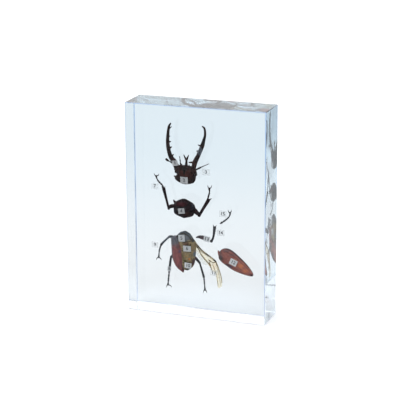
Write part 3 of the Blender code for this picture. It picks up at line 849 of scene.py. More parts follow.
# First thorax ring with the fore legs
prothorax = {
    "ribs": [
        ((-10.8, 58.3), (-7.7, 58.1), 1.6, 1.6),
        ((-13.6, 59.1), (-4.7, 59.0), 2.8, 2.6),
        ((-15.4, 60.4), (-3.4, 60.1), 3.6, 3.2),
        ((-15.7, 62.6), (-2.7, 62.2), 4.1, 3.5),
        ((-15.6, 65.0), (-2.3, 64.4), 4.2, 3.6),
        ((-15.2, 66.6), (-3.0, 66.4), 3.7, 3.3),
        ((-13.6, 67.9), (-4.7, 67.7), 2.9, 2.8),
        ((-11.1, 69.1), (-7.1, 68.8), 1.8, 2.0),
    ],
    "marks": [
        ([(-15.4, 63.6), (-12.2, 64.6), (-8.4, 64.6), (-6.1, 66.2), (-5.3, 68.0)], 0.34, -0.30, "front"),
        ([(-12.8, 66.3), (-9.4, 66.9)], 1.2, 0.30, "front"),
        ([(-9.4, 58.3), (-9.0, 63.8)], 0.26, -0.14, "front"),
        ([(-13.4, 60.2), (-9.3, 59.1), (-5.0, 60.0)], 0.28, -0.18, "front"),
        ([(-13.2, 62.0)], 0.8, -0.25, "front"),
        ([(-4.9, 62.6)], 0.8, -0.25, "front"),
        ([(-14.9, 60.6), (-15.3, 63.0), (-15.1, 66.2)], 0.35, 0.20, "front"),
        ([(-3.6, 60.4), (-3.0, 62.6), (-3.1, 65.6)], 0.35, 0.20, "front"),
        ([(-9.2, 68.4), (-9.1, 59.6)], 0.55, 0.50, "back"),
        ([(-12.2, 64.0)], 1.5, 0.60, "back"),
        ([(-6.1, 63.6)], 1.5, 0.60, "back"),
    ],
    "corner": [(-13.8, 65.8, 1.05), (-15.1, 67.0, 0.78), (-15.8, 68.1, 0.34)],
    "legs": [
        {
            "thigh": [(-12.7, 64.0, 1.10), (-15.6, 64.4, 1.20), (-17.6, 64.0, 1.15), (-19.1, 63.1, 0.92)],
            "shin": [(-18.9, 62.6, 0.74), (-20.4, 68.6, 0.78), (-21.4, 72.5, 0.96), (-21.9, 74.5, 1.10)],
            "toothSide": -1,
            "spurs": [[(-21.8, 73.7, 0.45), (-22.6, 74.7, 0.30), (-23.3, 75.5, 0.12)],
                      [(-21.7, 73.7, 0.45), (-21.3, 74.9, 0.28), (-21.0, 76.0, 0.12)]],
            "foot": [(-21.9, 74.3, 0.42), (-22.7, 76.3, 0.42), (-24.3, 77.8, 0.42), (-25.6, 79.2, 0.42),
                     (-26.4, 80.9, 0.44), (-26.5, 81.7, 0.52)],
            "claws": ((-26.5, 81.6), (-27.8, 83.1), (-24.7, 83.1)),
        },
        {
            "thigh": [(-5.3, 63.8, 1.60), (-3.3, 63.2, 1.65), (-1.3, 61.6, 1.34), (0.1, 60.5, 1.00)],
            "shin": [(0.0, 60.2, 0.90), (2.9, 65.2, 0.90), (4.7, 68.3, 1.02), (5.9, 70.3, 1.10)],
            "spurs": [[(5.2, 69.5, 0.55), (6.5, 70.4, 0.40), (7.7, 71.1, 0.16)]],
            "foot": [(5.2, 69.9, 0.44), (5.8, 72.4, 0.40), (6.4, 74.7, 0.42), (6.3, 77.0, 0.54)],
            "claws": ((6.3, 76.9), (5.3, 78.9), (7.8, 79.0)),
        },
    ],
    "look": {
        "dark": (0.010, 0.006, 0.009), "light": (0.028, 0.010, 0.013), "seam": (0.004, 0.003, 0.004),
        "mottle": 0.7, "pits": 4.0, "roughness": (0.32, 0.55), "gloss": 0.14,
        "blots": [
            ((-10.0, 66.6), (4.8, 2.1), 0.3, 0.85, (0.062, 0.010, 0.014)),
            ((-7.1, 60.8), (3.2, 2.2), 0.3, 0.7, (0.036, 0.015, 0.012)),
            ((-3.7, 65.6), (1.8, 3.2), 0.4, 0.8, (0.012, 0.013, 0.024)),
            ((-14.6, 61.6), (1.6, 2.6), 0.4, 0.8, (0.011, 0.013, 0.026)),
        ],
    },
}


def addProthorax():
    shape = newShape()
    shield = loft(shape, ribRings(prothorax["ribs"], sides=80, total=72))
    carve(shape, shield, prothorax["marks"], waves=0.08)
    tube(shape, prothorax["corner"], sides=14, total=12)
    for leg in prothorax["legs"]:
        addLeg(shape, leg)
    finishPiece("prothorax_with_legs", shape, [skinMaterial("shield chitin", prothorax["look"])],
                ("prothorax",))
    print("prothorax is in")


# Hind body: two thorax rings, the bared abdomen and three legs
hindBody = {
    "ribs": [
        ((-9.7, 26.2), (-6.7, 26.0), 1.2, 1.4),
        ((-11.9, 27.7), (-4.8, 27.5), 2.2, 2.6),
        ((-14.0, 30.0), (-3.3, 29.7), 2.8, 3.4),
        ((-15.8, 33.3), (-2.5, 33.2), 3.1, 4.0),
        ((-16.5, 36.8), (-2.2, 36.8), 3.2, 4.3),
        ((-16.8, 39.8), (-2.1, 39.8), 3.3, 4.4),
        ((-17.0, 43.2), (-1.8, 43.0), 3.4, 4.3),
        ((-15.6, 45.6), (-3.5, 45.4), 3.2, 3.8),
        ((-13.6, 47.1), (-4.6, 47.1), 2.6, 3.0),
        ((-12.0, 48.8), (-5.8, 48.6), 1.8, 2.2),
        ((-10.0, 49.6), (-7.4, 49.4), 1.0, 1.4),
    ],
    "marks": [
        ([(-14.8, 45.0), (-12.2, 47.4), (-9.3, 48.9), (-6.5, 47.5), (-3.9, 44.7)], 0.30, -0.20, "front"),
        ([(-16.6, 45.0), (-12.7, 44.0), (-8.6, 43.6), (-5.5, 44.2), (-3.0, 44.8)], 0.36, -0.12, "front"),
        ([(-9.0, 41.8), (-9.3, 38.4)], 0.28, -0.10, "front"),
        ([(-4.9, 43.7), (-4.9, 37.4)], 0.20, -0.15, "front"),
        ([(-9.3, 30.7), (-7.4, 30.6), (-5.4, 31.6)], 0.24, -0.16, "front"),
        ([(-6.6, 41.0)], 1.8, -0.15, "front"),
        ([(-4.5, 37.4), (-4.5, 33.1), (-5.1, 28.5)], 0.20, -0.10, "front"),
        ([(-9.3, 48.3), (-9.3, 39.7)], 0.26, -0.24, "back"),
        ([(-16.4, 38.7), (-9.3, 39.5), (-2.6, 38.7)], 0.34, -0.32, "back"),
        ([(-16.0, 42.7), (-9.3, 41.7), (-3.1, 42.5)], 0.28, -0.22, "back"),
        ([(-12.6, 44.0)], 1.3, 0.70, "back"),
        ([(-6.1, 43.8)], 1.3, 0.70, "back"),
        ([(-12.8, 40.4), (-10.5, 40.2)], 0.9, 0.50, "back"),
        ([(-8.1, 40.2), (-5.9, 40.4)], 0.9, 0.50, "back"),
    ],
    "rings": {"front": (38.1, 35.7, 33.2, 30.9, 28.8, 27.1), "back": (36.4, 33.9, 31.6, 29.5, 27.7)},
    "ringReach": (-13.6, -2.6),
    "ringSag": 0.7,
    "ringSteps": 6,
    "ringForm": (0.22, -0.05),
    "legs": [
        {
            "thigh": [(-15.0, 45.0, 1.05), (-17.0, 45.4, 0.92), (-18.2, 45.4, 0.80), (-19.1, 45.0, 0.64)],
            "shin": [(-18.6, 45.5, 0.58), (-21.5, 42.6, 0.60), (-23.2, 40.7, 0.66), (-24.1, 39.6, 0.70)],
            "foot": [(-23.9, 40.0, 0.44), (-25.1, 36.2, 0.40), (-25.6, 31.8, 0.46)],
            "claws": ((-25.6, 31.8), (-27.1, 30.1), (-23.9, 30.2)),
        },
        {
            "thigh": [(-15.0, 34.5, 0.80), (-16.7, 33.9, 0.78), (-17.7, 32.7, 0.66)],
            "shin": [(-17.8, 32.9, 0.62), (-18.2, 30.1, 0.72), (-18.6, 26.9, 0.72), (-19.1, 23.6, 0.62)],
            "teeth": 3,
            "foot": [(-19.0, 24.2, 0.44), (-19.6, 18.4, 0.40), (-19.9, 15.4, 0.48)],
            "claws": ((-19.9, 15.4), (-20.9, 13.4), (-17.6, 13.9)),
        },
        {
            "thigh": [(-4.5, 35.0, 0.95), (-2.4, 33.8, 0.92), (-0.9, 32.4, 0.84), (0.3, 30.9, 0.70)],
            "shin": [(0.1, 31.5, 0.56), (1.4, 27.3, 0.60), (2.3, 24.3, 0.66), (2.7, 22.6, 0.76)],
            "foot": [(2.7, 23.3, 0.42), (3.1, 19.0, 0.38), (3.4, 14.9, 0.46)],
            "claws": ((3.4, 14.9), (2.4, 12.8), (4.6, 12.9)),
        },
    ],
    "look": {
        "dark": (0.200, 0.155, 0.095), "light": (0.400, 0.290, 0.140), "seam": (0.060, 0.045, 0.030),
        "mottle": 1.1, "pits": 4.0, "roughness": (0.35, 0.6), "gloss": 0.25,
        "blots": [
            ((-10.1, 0.0, 47.3), (8.4, 12.0, 4.4), 0.6, 1.0, (0.098, 0.112, 0.128)),
            # painted highlight: a pale blue-grey sheen on the thorax
            ((-9.1, -2.0, 46.4), (4.8, 6.0, 2.8), 0.3, 0.8, (0.185, 0.200, 0.215)),
            ((-15.6, 0.0, 41.8), (4.4, 12.0, 8.0), 0.6, 0.8, (0.090, 0.080, 0.085)),
            ((-7.5, -2.0, 42.7), (3.4, 6.0, 1.6), 0.2, 0.85, (0.200, 0.100, 0.070)),
            ((-7.7, -2.0, 38.0), (3.6, 6.0, 1.5), 0.2, 0.60, (0.190, 0.150, 0.100)),
            ((-9.7, -2.0, 34.1), (1.6, 6.0, 3.0), 0.2, 0.70, (0.150, 0.110, 0.060)),
            ((-3.5, -1.0, 40.4), (1.2, 6.0, 3.4), 0.3, 0.85, (0.300, 0.215, 0.125)),
            ((-3.5, 45.4), (1.3, 2.6), 0.4, 0.95, (0.040, 0.048, 0.058)),
            # painted highlight: a blue-grey sheen on the right side of the abdomen
            ((-2.6, -1.0, 36.4), (1.3, 6.0, 3.0), 0.3, 0.95, (0.150, 0.180, 0.210)),
            ((-8.3, -2.0, 32.0), (1.7, 6.0, 0.9), 0.3, 0.85, (0.085, 0.092, 0.036)),
            ((-6.7, -2.0, 30.9), (2.4, 6.0, 0.5), 0.3, 0.80, (0.050, 0.040, 0.030)),
            ((-5.7, -2.0, 33.4), (1.2, 6.0, 0.9), 0.3, 0.85, (0.620, 0.210, 0.060)),
            ((-7.4, -2.0, 35.0), (1.1, 6.0, 0.6), 0.3, 0.60, (0.480, 0.240, 0.070)),
            ((-3.0, -1.0, 31.3), (1.7, 6.0, 3.0), 0.5, 0.90, (0.085, 0.038, 0.045)),
            ((-6.7, -1.0, 26.6), (2.4, 6.0, 0.9), 0.4, 0.9, (0.032, 0.036, 0.034)),
            ((-9.3, 4.2, 37.8), (9.0, 2.6, 14.0), 0.6, 0.85, (0.055, 0.036, 0.030)),
        ],
    },
    "legLook": {
        "dark": (0.036, 0.036, 0.040), "light": (0.070, 0.072, 0.080), "seam": (0.02, 0.02, 0.022),
        "mottle": 1.0, "pits": 6.0, "roughness": (0.35, 0.55), "gloss": 0.25,
        "blots": [
            # painted highlight: a blue-grey sheen on the leg
            ((-20.7, 43.2), (5.4, 4.6), 0.4, 0.90, (0.160, 0.180, 0.205)),
            ((-25.3, 34.7), (2.0, 4.0), 0.4, 0.80, (0.110, 0.120, 0.130)),
            ((-3.2, 34.2), (2.4, 1.6), 0.4, 0.85, (0.110, 0.055, 0.065)),
            ((-19.1, 23.2), (1.6, 1.6), 0.4, 0.80, (0.190, 0.180, 0.190)),
        ],
    },
}


def addHindBody():
    shape = newShape()
    skin = loft(shape, ribRings(hindBody["ribs"], sides=96, total=130))
    left, right = hindBody["ringReach"]
    marks = list(hindBody["marks"])
    for side, heights in hindBody["rings"].items():
        for height in heights:
            shares = [step / hindBody["ringSteps"] for step in range(hindBody["ringSteps"] + 1)]
            points = [(left + (right - left) * share, height + hindBody["ringSag"] * (2 * share - 1) ** 2)
                      for share in shares]
            marks.append((points, *hindBody["ringForm"], side))
    carve(shape, skin, marks, waves=0.08)
    for leg in hindBody["legs"]:
        addLeg(shape, leg, look=1)
    looks = [skinMaterial("hind body chitin", hindBody["look"]),
             skinMaterial("leg chitin", hindBody["legLook"])]
    finishPiece("thorax_abdomen_and_legs", shape, looks, ("body",))
    print("hind body is in")


# Wing case that still covers the left half of the abdomen
leftWingCase = {
    "ribs": [
        ((-11.1, 24.6), (-9.8, 24.3), 0.9, 0.6),
        ((-13.1, 26.0), (-9.3, 26.3), 2.3, 0.9),
        ((-14.9, 28.0), (-8.9, 28.9), 3.3, 0.9),
        ((-16.4, 31.2), (-8.8, 31.9), 4.0, 0.9),
        ((-17.1, 34.2), (-9.0, 35.2), 4.3, 0.9),
        ((-17.3, 39.1), (-9.4, 39.2), 4.4, 0.9),
        ((-17.5, 42.8), (-10.3, 42.2), 4.2, 0.9),
        ((-17.4, 45.2), (-11.6, 44.4), 3.2, 0.8),
        ((-15.6, 46.4), (-13.0, 45.8), 1.8, 0.6),
    ],
    "marks": [
        ([(-15.6, 44.0)], 1.3, 0.35, "front"),
        ([(-10.0, 25.9), (-9.7, 31.7), (-10.1, 38.8), (-11.4, 43.4)], 0.26, -0.15, "front"),
        ([(-12.1, 28.1), (-11.9, 32.7), (-12.4, 38.8), (-13.4, 43.2)], 0.24, -0.07, "front"),
        ([(-14.4, 30.1), (-14.5, 33.7), (-15.0, 38.8), (-15.4, 43.2)], 0.24, -0.07, "front"),
        ([(-15.8, 32.7), (-16.2, 37.8), (-16.4, 42.2)], 0.22, -0.07, "front"),
    ],
    "look": {
        "dark": (0.240, 0.088, 0.088), "light": (0.360, 0.120, 0.112), "seam": (0.075, 0.045, 0.050),
        "mottle": 0.8, "pits": 5.0, "roughness": (0.28, 0.45), "gloss": 0.3,
        "streaks": (83.0, 0.55, (0.120, 0.055, 0.062)),
        "blots": [
            ((-16.8, 33.3), (1.3, 6.4), 0.4, 0.8, (0.085, 0.062, 0.072)),
            # painted highlight: a blue-grey sheen at the base of the wing case
            ((-15.2, 43.8), (5.2, 5.0), 0.4, 0.95, (0.160, 0.178, 0.205)),
            ((-17.0, 44.4), (1.6, 3.2), 0.4, 0.8, (0.090, 0.100, 0.118)),
            # painted highlight: more of the blue-grey sheen at the base
            ((-12.8, 44.8), (3.6, 2.8), 0.3, 0.8, (0.160, 0.180, 0.205)),
            ((-12.8, 40.4), (2.0, 1.9), 0.4, 0.75, (0.140, 0.085, 0.082)),
            ((-11.5, 37.8), (1.5, 1.7), 0.3, 0.80, (0.105, 0.092, 0.150)),
            ((-12.8, 32.3), (1.6, 5.4), 0.3, 0.8, (0.400, 0.120, 0.118)),
            ((-10.0, 27.7), (0.8, 4.0), 0.4, 0.6, (0.110, 0.070, 0.080)),
        ],
    },
}

# Wing case that lies loose: a thin shell, hollow at the back
looseWingCase = {
    "shell": 0.5,
    "ribs": [
        ((14.1, 41.1), (11.9, 37.4), 1.0),
        ((15.6, 41.8), (12.1, 35.2), 2.1),
        ((18.0, 41.8), (13.9, 33.1), 2.9),
        ((20.7, 40.7), (17.1, 31.1), 3.1),
        ((24.0, 38.2), (20.5, 29.1), 3.0),
        ((27.5, 35.2), (24.5, 27.7), 2.7),
        ((30.6, 32.0), (28.3, 26.8), 2.1),
        ((32.3, 29.7), (31.1, 26.4), 1.5),
        ((33.1, 28.3), (32.5, 26.4), 0.9),
    ],
    "hinge": [(12.9, 37.2, 1.15), (12.2, 38.7, 0.85), (11.7, 39.9, 0.34)],
    "marks": [
        ([(14.0, 38.4), (17.1, 40.4), (20.6, 38.6), (23.9, 36.4), (27.9, 33.0), (31.5, 29.4)],
         0.22, -0.15, "front"),
        ([(14.5, 37.0), (18.2, 38.0), (23.2, 34.8), (28.9, 30.4), (32.0, 27.9)], 0.22, -0.09, "front"),
        ([(14.3, 35.8), (17.8, 35.6), (22.4, 32.8), (27.9, 29.2), (31.3, 27.5)], 0.22, -0.09, "front"),
        ([(14.1, 35.8), (15.8, 33.8), (18.6, 32.4), (22.2, 30.7), (26.9, 28.6)], 0.22, -0.12, "front"),
        ([(14.7, 38.2)], 1.0, 0.25, "front"),
    ],
    "look": {
        "dark": (0.330, 0.115, 0.095), "light": (0.490, 0.180, 0.140), "seam": (0.110, 0.048, 0.042),
        "mottle": 0.7, "pits": 5.0, "roughness": (0.28, 0.45), "gloss": 0.3,
        "streaks": (-42.0, 0.45, (0.150, 0.062, 0.056)),
        "rim": {"sides": (0.82, 0.97), "ends": (0.94, 0.99), "color": (0.075, 0.045, 0.052)},
        "blots": [
            ((13.5, 36.4), (2.4, 4.2), 0.3, 0.85, (0.135, 0.110, 0.120)),
            ((13.5, 35.2), (0.9, 1.1), 0.3, 0.75, (0.160, 0.175, 0.130)),
            ((17.0, 40.6), (3.6, 1.1), 0.3, 0.80, (0.190, 0.130, 0.130)),
            ((21.0, 38.6), (3.2, 0.8), 0.4, 0.70, (0.210, 0.130, 0.125)),
            ((24.3, 36.4), (2.4, 0.8), 0.4, 0.60, (0.200, 0.115, 0.105)),
            ((22.6, 36.0), (1.9, 1.1), 0.2, 0.80, (0.560, 0.240, 0.140)),
            ((25.9, 32.4), (2.8, 2.3), 0.2, 0.95, (0.860, 0.280, 0.120)),
            ((28.9, 29.8), (3.1, 2.0), 0.2, 0.90, (0.760, 0.240, 0.120)),
            ((17.8, 32.2), (3.6, 1.2), 0.3, 0.85, (0.080, 0.062, 0.085)),
            ((19.6, 31.2), (1.7, 0.8), 0.3, 0.90, (0.065, 0.062, 0.150)),
            ((32.3, 27.4), (0.9, 1.0), 0.3, 0.9, (0.034, 0.028, 0.045)),
        ],
    },
}


def addWingCases():
    shape = newShape()
    skin = loft(shape, ribRings(leftWingCase["ribs"], sides=96, total=100))
    carve(shape, skin, leftWingCase["marks"], waves=0.05)
    finishPiece("left_wing_case", shape, [skinMaterial("left wing case", leftWingCase["look"])])
    shape = newShape()
    ribs = [(left, right, rise, looseWingCase["shell"] - rise) for left, right, rise in looseWingCase["ribs"]]
    skin = loft(shape, ribRings(ribs, sides=112, total=110))
    carve(shape, skin, looseWingCase["marks"], waves=0.04)
    tube(shape, looseWingCase["hinge"], total=10)
    finishPiece("loose_wing_case", shape, [skinMaterial("loose wing case", looseWingCase["look"])],
                ("elytron_right",))
    print("wing cases are in")


# Spread hind wing: a pleated film with veins. A row holds its front and rear edge and the depth of pleats.
hindWing = {
    "film": 0.08,
    "filmColumns": 26,
    "filmCount": 90,
    "rows": [
        (-6.1, 46.2, -4.5, 40.2, 0.05),
        (-3.9, 44.7, -2.8, 39.4, 0.15),
        (-1.0, 41.6, -0.2, 37.0, 0.25),
        (1.9, 38.8, 1.8, 34.7, 0.30),
        (6.2, 36.1, 4.6, 31.6, 0.30),
        (9.0, 34.2, 6.7, 29.1, 0.28),
        (10.5, 32.6, 8.2, 27.1, 0.24),
        (11.7, 29.9, 9.7, 26.2, 0.20),
        (12.8, 26.5, 10.4, 24.1, 0.16),
        (13.8, 22.3, 11.0, 20.3, 0.12),
        (14.1, 19.3, 11.4, 17.6, 0.08),
        (13.8, 18.0, 12.0, 16.8, 0.03),
    ],
    "lobeRows": [
        (-2.6, 39.4, -3.5, 37.8, 0.05),
        (-0.6, 37.8, -1.6, 35.4, 0.12),
        (1.6, 36.2, 0.6, 32.7, 0.16),
        (3.4, 34.0, 1.8, 30.7, 0.14),
        (4.8, 32.3, 3.2, 30.1, 0.10),
        (5.7, 31.3, 4.8, 30.1, 0.04),
    ],
    "lobeDrop": 0.8,
    "lobeColumns": 14,
    "lobeCount": 40,
    "pleats": 3.0,
    "mainVein": [
        (-6.3, 46.9, 0.60), (-4.3, 45.2, 0.58), (-1.9, 42.6, 0.52), (0.8, 39.7, 0.46), (3.2, 37.9, 0.42),
        (6.2, 36.1, 0.36), (8.8, 34.4, 0.34), (10.1, 33.1, 0.46), (10.7, 32.0, 0.36), (11.5, 30.3, 0.30),
        (12.5, 27.3, 0.28), (13.6, 23.7, 0.26), (14.0, 20.3, 0.20),
    ],
    "veins": [
        [(-5.5, 44.8, 0.30), (-2.9, 42.0, 0.26), (0.2, 39.0, 0.20), (3.4, 37.0, 0.16), (6.5, 35.2, 0.14),
         (9.7, 33.0, 0.18)],
        [(-4.7, 43.6, 0.34), (-2.2, 41.4, 0.34), (-0.7, 39.9, 0.32), (1.1, 36.6, 0.30), (3.4, 33.7, 0.30),
         (5.5, 31.7, 0.34), (6.5, 30.7, 0.38), (7.2, 28.8, 0.26), (7.7, 27.2, 0.16)],
        [(5.7, 33.6, 0.22), (6.7, 33.1, 0.34), (7.9, 32.3, 0.26), (9.1, 32.3, 0.30), (10.1, 32.7, 0.26)],
        [(6.5, 33.0, 0.18), (6.3, 31.9, 0.20), (6.5, 30.9, 0.18)],
        [(8.1, 31.6, 0.12), (8.8, 29.8, 0.18), (9.8, 26.8, 0.18), (10.6, 25.0, 0.16), (11.4, 19.9, 0.16),
         (11.6, 18.0, 0.12)],
        [(10.5, 31.7, 0.20), (11.1, 29.3, 0.16), (12.0, 25.7, 0.15), (12.8, 21.5, 0.12), (13.1, 18.8, 0.10)],
    ],
    "veinLook": {
        "dark": (0.260, 0.190, 0.110), "light": (0.480, 0.380, 0.240), "seam": (0.08, 0.06, 0.03),
        "mottle": 0.5, "pits": 6.0, "roughness": (0.4, 0.6), "gloss": 0.25, "bump": 0.3,
        "blots": [
            ((-4.5, 45.0), (4.2, 3.4), 0.3, 0.9, (0.048, 0.052, 0.052)),
            ((0.4, 40.4), (3.6, 2.2), 0.3, 0.9, (0.090, 0.072, 0.048)),
            ((5.4, 36.8), (4.2, 1.7), 0.3, 0.9, (0.070, 0.056, 0.042)),
            ((9.7, 33.6), (1.6, 1.3), 0.4, 0.95, (0.040, 0.032, 0.028)),
            ((3.6, 33.6), (3.2, 3.2), 0.3, 0.60, (0.180, 0.120, 0.060)),
            ((6.5, 31.3), (1.4, 2.4), 0.3, 0.80, (0.220, 0.140, 0.060)),
        ],
    },
    "filmColor": (1.000, 0.895, 0.680),
    "filmPale": (1.000, 0.955, 0.820),
    "filmBlots": [
        ((-3.1, 42.2), (3.2, 2.8), 0.2, 0.9, (0.500, 0.420, 0.290)),
        ((-0.4, 38.4), (1.6, 2.2), 0.3, 0.6, (0.860, 0.820, 0.730)),
        ((6.5, 30.5), (1.3, 2.2), 0.3, 0.80, (0.720, 0.560, 0.350)),
        ((9.1, 30.1), (1.6, 3.4), 0.3, 0.60, (1.000, 0.800, 0.590)),
    ],
    "lobeColor": (0.960, 0.955, 0.920),
    "lobeShade": (0.890, 0.890, 0.850),
    "filmSpots": 0.8,
    "filmIor": 1.03,  # close to the resin around it
    "filmClear": 0.95,
    "filmRoughness": (0.15, 0.3),
    "filmPits": {"Size": 3.0, "Wrinkles": 2.0},
    "filmBump": (0.3, 0.03),
}


def filmMaterial(name, first, second, blots=()):
    material, tree, shader = newMaterial(name)
    place = objectPlace(tree)
    mottle = mottled(tree, place, hindWing["filmSpots"], first, second)
    pits = useGroup(tree, "pits", {"Place": place, **hindWing["filmPits"]})["Height"]
    fillSockets(tree, shader, {
        "Base Color": addBlots(tree, place, mottle["Color"], blots),
        "Roughness": mapRange(tree, mottle["Amount"], 0.0, 1.0, *hindWing["filmRoughness"]),
        "Normal": bumpNormal(tree, pits, *hindWing["filmBump"]),
        "IOR": hindWing["filmIor"],
        "Transmission Weight": hindWing["filmClear"]})
    return material


def filmRings(rows, total, columns, drop=0.0):
    half = Vector((0.0, hindWing["film"] / 2, 0.0))
    rings = []
    for frontX, frontZ, rearX, rearZ, depth in smoothRows(rows, total):
        line = []
        for part in (column / columns for column in range(columns + 1)):
            fold = depth * sin(2 * pi * hindWing["pleats"] * part)
            line.append(Vector((frontX + (rearX - frontX) * part, limbPlane + drop + fold,
                                frontZ + (rearZ - frontZ) * part)))
        rings.append([spot - half for spot in line] + [spot + half for spot in reversed(line)])
    return rings


def addHindWing():
    shape = newShape()
    loft(shape, filmRings(hindWing["rows"], hindWing["filmCount"], hindWing["filmColumns"]))
    loft(shape, filmRings(hindWing["lobeRows"], hindWing["lobeCount"], hindWing["lobeColumns"],
                          hindWing["lobeDrop"]), look=1)
    tube(shape, hindWing["mainVein"], sides=14, total=90, look=2)
    for path in hindWing["veins"]:
        tube(shape, path, sides=10, total=40, flat=0.8, look=2)
    looks = [filmMaterial("wing film", hindWing["filmColor"], hindWing["filmPale"], hindWing["filmBlots"]),
             filmMaterial("wing lobe", hindWing["lobeColor"], hindWing["lobeShade"]),
             skinMaterial("wing vein", hindWing["veinLook"])]
    finishPiece("hind_wing", shape, looks)
    print("hind wing is in")


# Right middle leg, taken apart
looseLeg = {
    "thigh": [(-1.9, 46.5, 0.30), (-0.9, 46.9, 0.62), (0.3, 47.1, 0.96), (2.4, 46.9, 1.26), (4.3, 46.3, 1.10),
              (5.8, 45.6, 0.70)],
    "marks": [([(-0.2, 48.1), (0.2, 46.1)], 0.14, -0.14, "front")],
    "shin": {
        "shin": [(7.5, 45.3, 0.84), (8.2, 46.5, 0.66), (8.8, 48.5, 0.64), (9.2, 51.3, 0.78),
                 (9.5, 54.0, 1.00)],
        "spurs": [[(9.2, 53.5, 0.42), (8.9, 54.5, 0.28), (8.5, 55.4, 0.12)],
                  [(9.5, 53.5, 0.42), (10.1, 54.4, 0.28), (10.7, 55.2, 0.12)]],
    },
    "foot": {
        "foot": [(12.9, 56.5, 0.42), (15.9, 58.7, 0.38), (18.4, 61.3, 0.38), (19.0, 63.6, 0.44)],
        "claws": ((19.0, 63.5), (17.7, 65.2), (19.8, 65.5)),
    },
    "look": {
        "dark": (0.030, 0.031, 0.036), "light": (0.066, 0.068, 0.076), "seam": (0.015, 0.015, 0.017),
        "mottle": 0.9, "pits": 6.0, "roughness": (0.35, 0.55), "gloss": 0.3,
        "blots": [((2.0, 46.7), (4.2, 1.8), 0.3, 0.85, (0.140, 0.092, 0.104))],
    },
}


def addLooseLeg():
    look = skinMaterial("loose leg chitin", looseLeg["look"])
    shape = newShape()
    skin = tube(shape, looseLeg["thigh"], sides=28, total=56, flat=0.8)
    carve(shape, skin, looseLeg["marks"], waves=0.05)
    finishPiece("loose_thigh", shape, [look], ("leg_base",))
    for name, node in (("shin", "leg_tibia"), ("foot", "leg_tarsus")):
        shape = newShape()
        addLeg(shape, looseLeg[name])
        finishPiece("loose_" + name, shape, [look], (node,))
    print("loose leg is in")


# Numbered paper labels: x, z, width, height, turn in degrees, y and number, named for what each one marks
labels = {
    "paper": 0.12,
    "curl": 0.16,
    "columns": 14,
    "inkRise": 0.02,
    "inkHeight": 2.8,
    "inkSwell": 0.05,
    "inkLift": 0.6,  # of its rise, over the paper
    "inkWeld": 0.001,
    "places": {
        "mandible": (-14.3, 90.7, 3.7, 3.1, 8, -1.5, 1),
        "head": (-8.4, 81.2, 4.7, 3.9, 0, -3.1, 2),
        "antenna": (4.3, 86.6, 5.0, 3.8, 0, 0.6, 3),
        "pronotum": (-10.0, 62.7, 3.9, 3.3, 8, -4.1, 4),
        "mesothorax": (-10.2, 45.9, 3.9, 4.1, 4, -3.3, 5),
        "metathorax": (-6.8, 39.9, 4.8, 3.5, 2, -3.4, 6),
        "fore_leg": (-27.5, 75.4, 4.2, 3.6, 0, 0.6, 7),
        "hind_leg": (-18.7, 25.6, 2.4, 2.9, -4, -0.7, 8),
        "middle_leg": (-27.9, 39.4, 4.2, 3.6, 0, 0.6, 9),
        "abdomen": (-6.4, 29.4, 4.3, 3.3, -5, -2.9, 10),
        "wing": (9.1, 26.1, 4.4, 3.8, -6, -0.1, 11),
        "elytron": (21.7, 34.5, 4.5, 3.8, -23, -3.2, 12),
        "femur": (5.0, 46.7, 4.0, 3.4, -10, -1.1, 13),
        "tibia": (13.2, 50.9, 4.4, 3.8, 0, 0.6, 14),
        "tarsus": (14.5, 62.5, 4.4, 3.8, 0, 0.6, 15),
    },
    "paperColor": (0.95, 0.95, 0.95),
    "paperShade": (0.86, 0.87, 0.88),
    "papers": {  # alpha of the paper and the labels cut from it, as the resin has soaked it more or less
        "white label paper": ((0.78, 0.84), ("elytron", "femur", "hind_leg", "abdomen")),
        "grey label paper": ((0.52, 0.58), ("mesothorax", "metathorax")),
        "damp label paper": ((0.38, 0.46), ("mandible", "head", "pronotum")),
        "soaked label paper": ((0.16, 0.22), ("antenna", "fore_leg", "middle_leg", "wing", "tibia",
                                              "tarsus")),
    },
    "paperSpots": 2.2,
    "paperFibres": (9000.0, 9000.0, 30000.0),  # a metre
    "paperBump": (0.4, 0.01),
    "paperRoughness": 0.85,
    "paperGloss": 0.1,
    "ink": (0.035, 0.037, 0.042),
    "inkWorn": (0.160, 0.165, 0.170),
    "inkSpots": 6.0,
    "inkRoughness": 0.7,
    "inkGloss": 0.2,
}


def paperMaterial(name, alpha):
    material, tree, shader = newMaterial(name)
    place = objectPlace(tree)
    mottle = mottled(tree, place, labels["paperSpots"], labels["paperShade"], labels["paperColor"])
    fibres = stretched(tree, place, labels["paperFibres"])
    fillSockets(tree, shader, {
        "Base Color": mottle["Color"],
        "Alpha": mapRange(tree, mottle["Amount"], 0.0, 1.0, *alpha),
        "Normal": bumpNormal(tree, noiseAt(tree, fibres, 1.0, 3.0), *labels["paperBump"]),
        "Roughness": labels["paperRoughness"],
        "Specular IOR Level": labels["paperGloss"]})
    return material


def inkMaterial():
    material, tree, shader = newMaterial("label ink")
    mottle = mottled(tree, objectPlace(tree), labels["inkSpots"], labels["ink"], labels["inkWorn"])
    fillSockets(tree, shader, {"Base Color": mottle["Color"], "Roughness": labels["inkRoughness"],
                               "Specular IOR Level": labels["inkGloss"]})
    return material


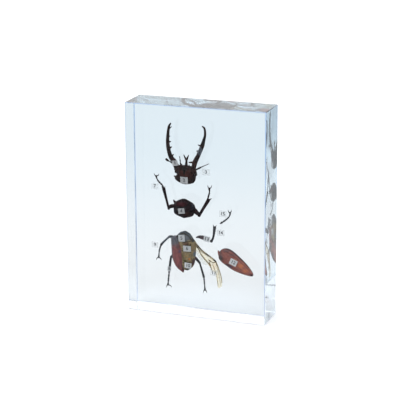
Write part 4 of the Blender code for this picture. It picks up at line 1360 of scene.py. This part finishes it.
def digitsMesh(number):
    letters = bpy.data.curves.new("digits", "FONT")
    letters.body = str(number)
    letters.size = labels["inkHeight"]
    letters.align_x = "CENTER"
    letters.align_y = "CENTER"
    letters.extrude = labels["inkRise"]
    letters.offset = labels["inkSwell"]
    item = addItem("digits", letters)
    mesh = bpy.data.meshes.new_from_object(item.evaluated_get(bpy.context.evaluated_depsgraph_get()))
    bpy.data.objects.remove(item, do_unlink=True)
    return mesh


def addLabels():
    ink = inkMaterial()
    papers = {}
    for kind, (alpha, names) in labels["papers"].items():
        papers.update(dict.fromkeys(names, paperMaterial(kind, alpha)))
    for name, (x, z, width, height, turn, y, number) in labels["places"].items():
        shape = newShape()
        bmesh.ops.create_grid(shape, x_segments=labels["columns"], y_segments=labels["columns"], size=0.5)
        bmesh.ops.scale(shape, vec=(width, height, 1.0), verts=shape.verts)
        bmesh.ops.solidify(shape, geom=shape.faces[:], thickness=labels["paper"])
        paper = set(shape.faces)
        shape.from_mesh(digitsMesh(number))
        digits = {vert for face in shape.faces if face not in paper for vert in face.verts}
        bmesh.ops.remove_doubles(shape, verts=list(digits), dist=labels["inkWeld"])
        digits = [vert for vert in shape.verts if not any(face in paper for face in vert.link_faces)]
        top = max(vert.co.z for face in paper for vert in face.verts)
        lift = top + labels["inkRise"] * labels["inkLift"]
        bmesh.ops.translate(shape, vec=(0.0, 0.0, lift), verts=digits)
        for face in shape.faces:
            face.material_index = 0 if face in paper else 1
        for vert in shape.verts:
            vert.co.z -= labels["curl"] * (2 * vert.co.x / width) ** 2
        stand = Matrix.Translation((x, y, z)) @ Matrix.Rotation(-radians(turn), 4, "Y") @ \
            Matrix.Rotation(pi / 2, 4, "X")
        bmesh.ops.transform(shape, matrix=stand, verts=shape.verts)
        bmesh.ops.recalc_face_normals(shape, faces=shape.faces)
        finishPiece("paper_label_" + name, shape, [papers[name], ink], ("label_" + name,))
    print("labels are in")


groups = makeGroups()
addCamera()
addStudio()
print("camera, light and floor are in")
addBlock()
addHead()
addProthorax()
addHindBody()
addWingCases()
addHindWing()
addLooseLeg()
addLabels()
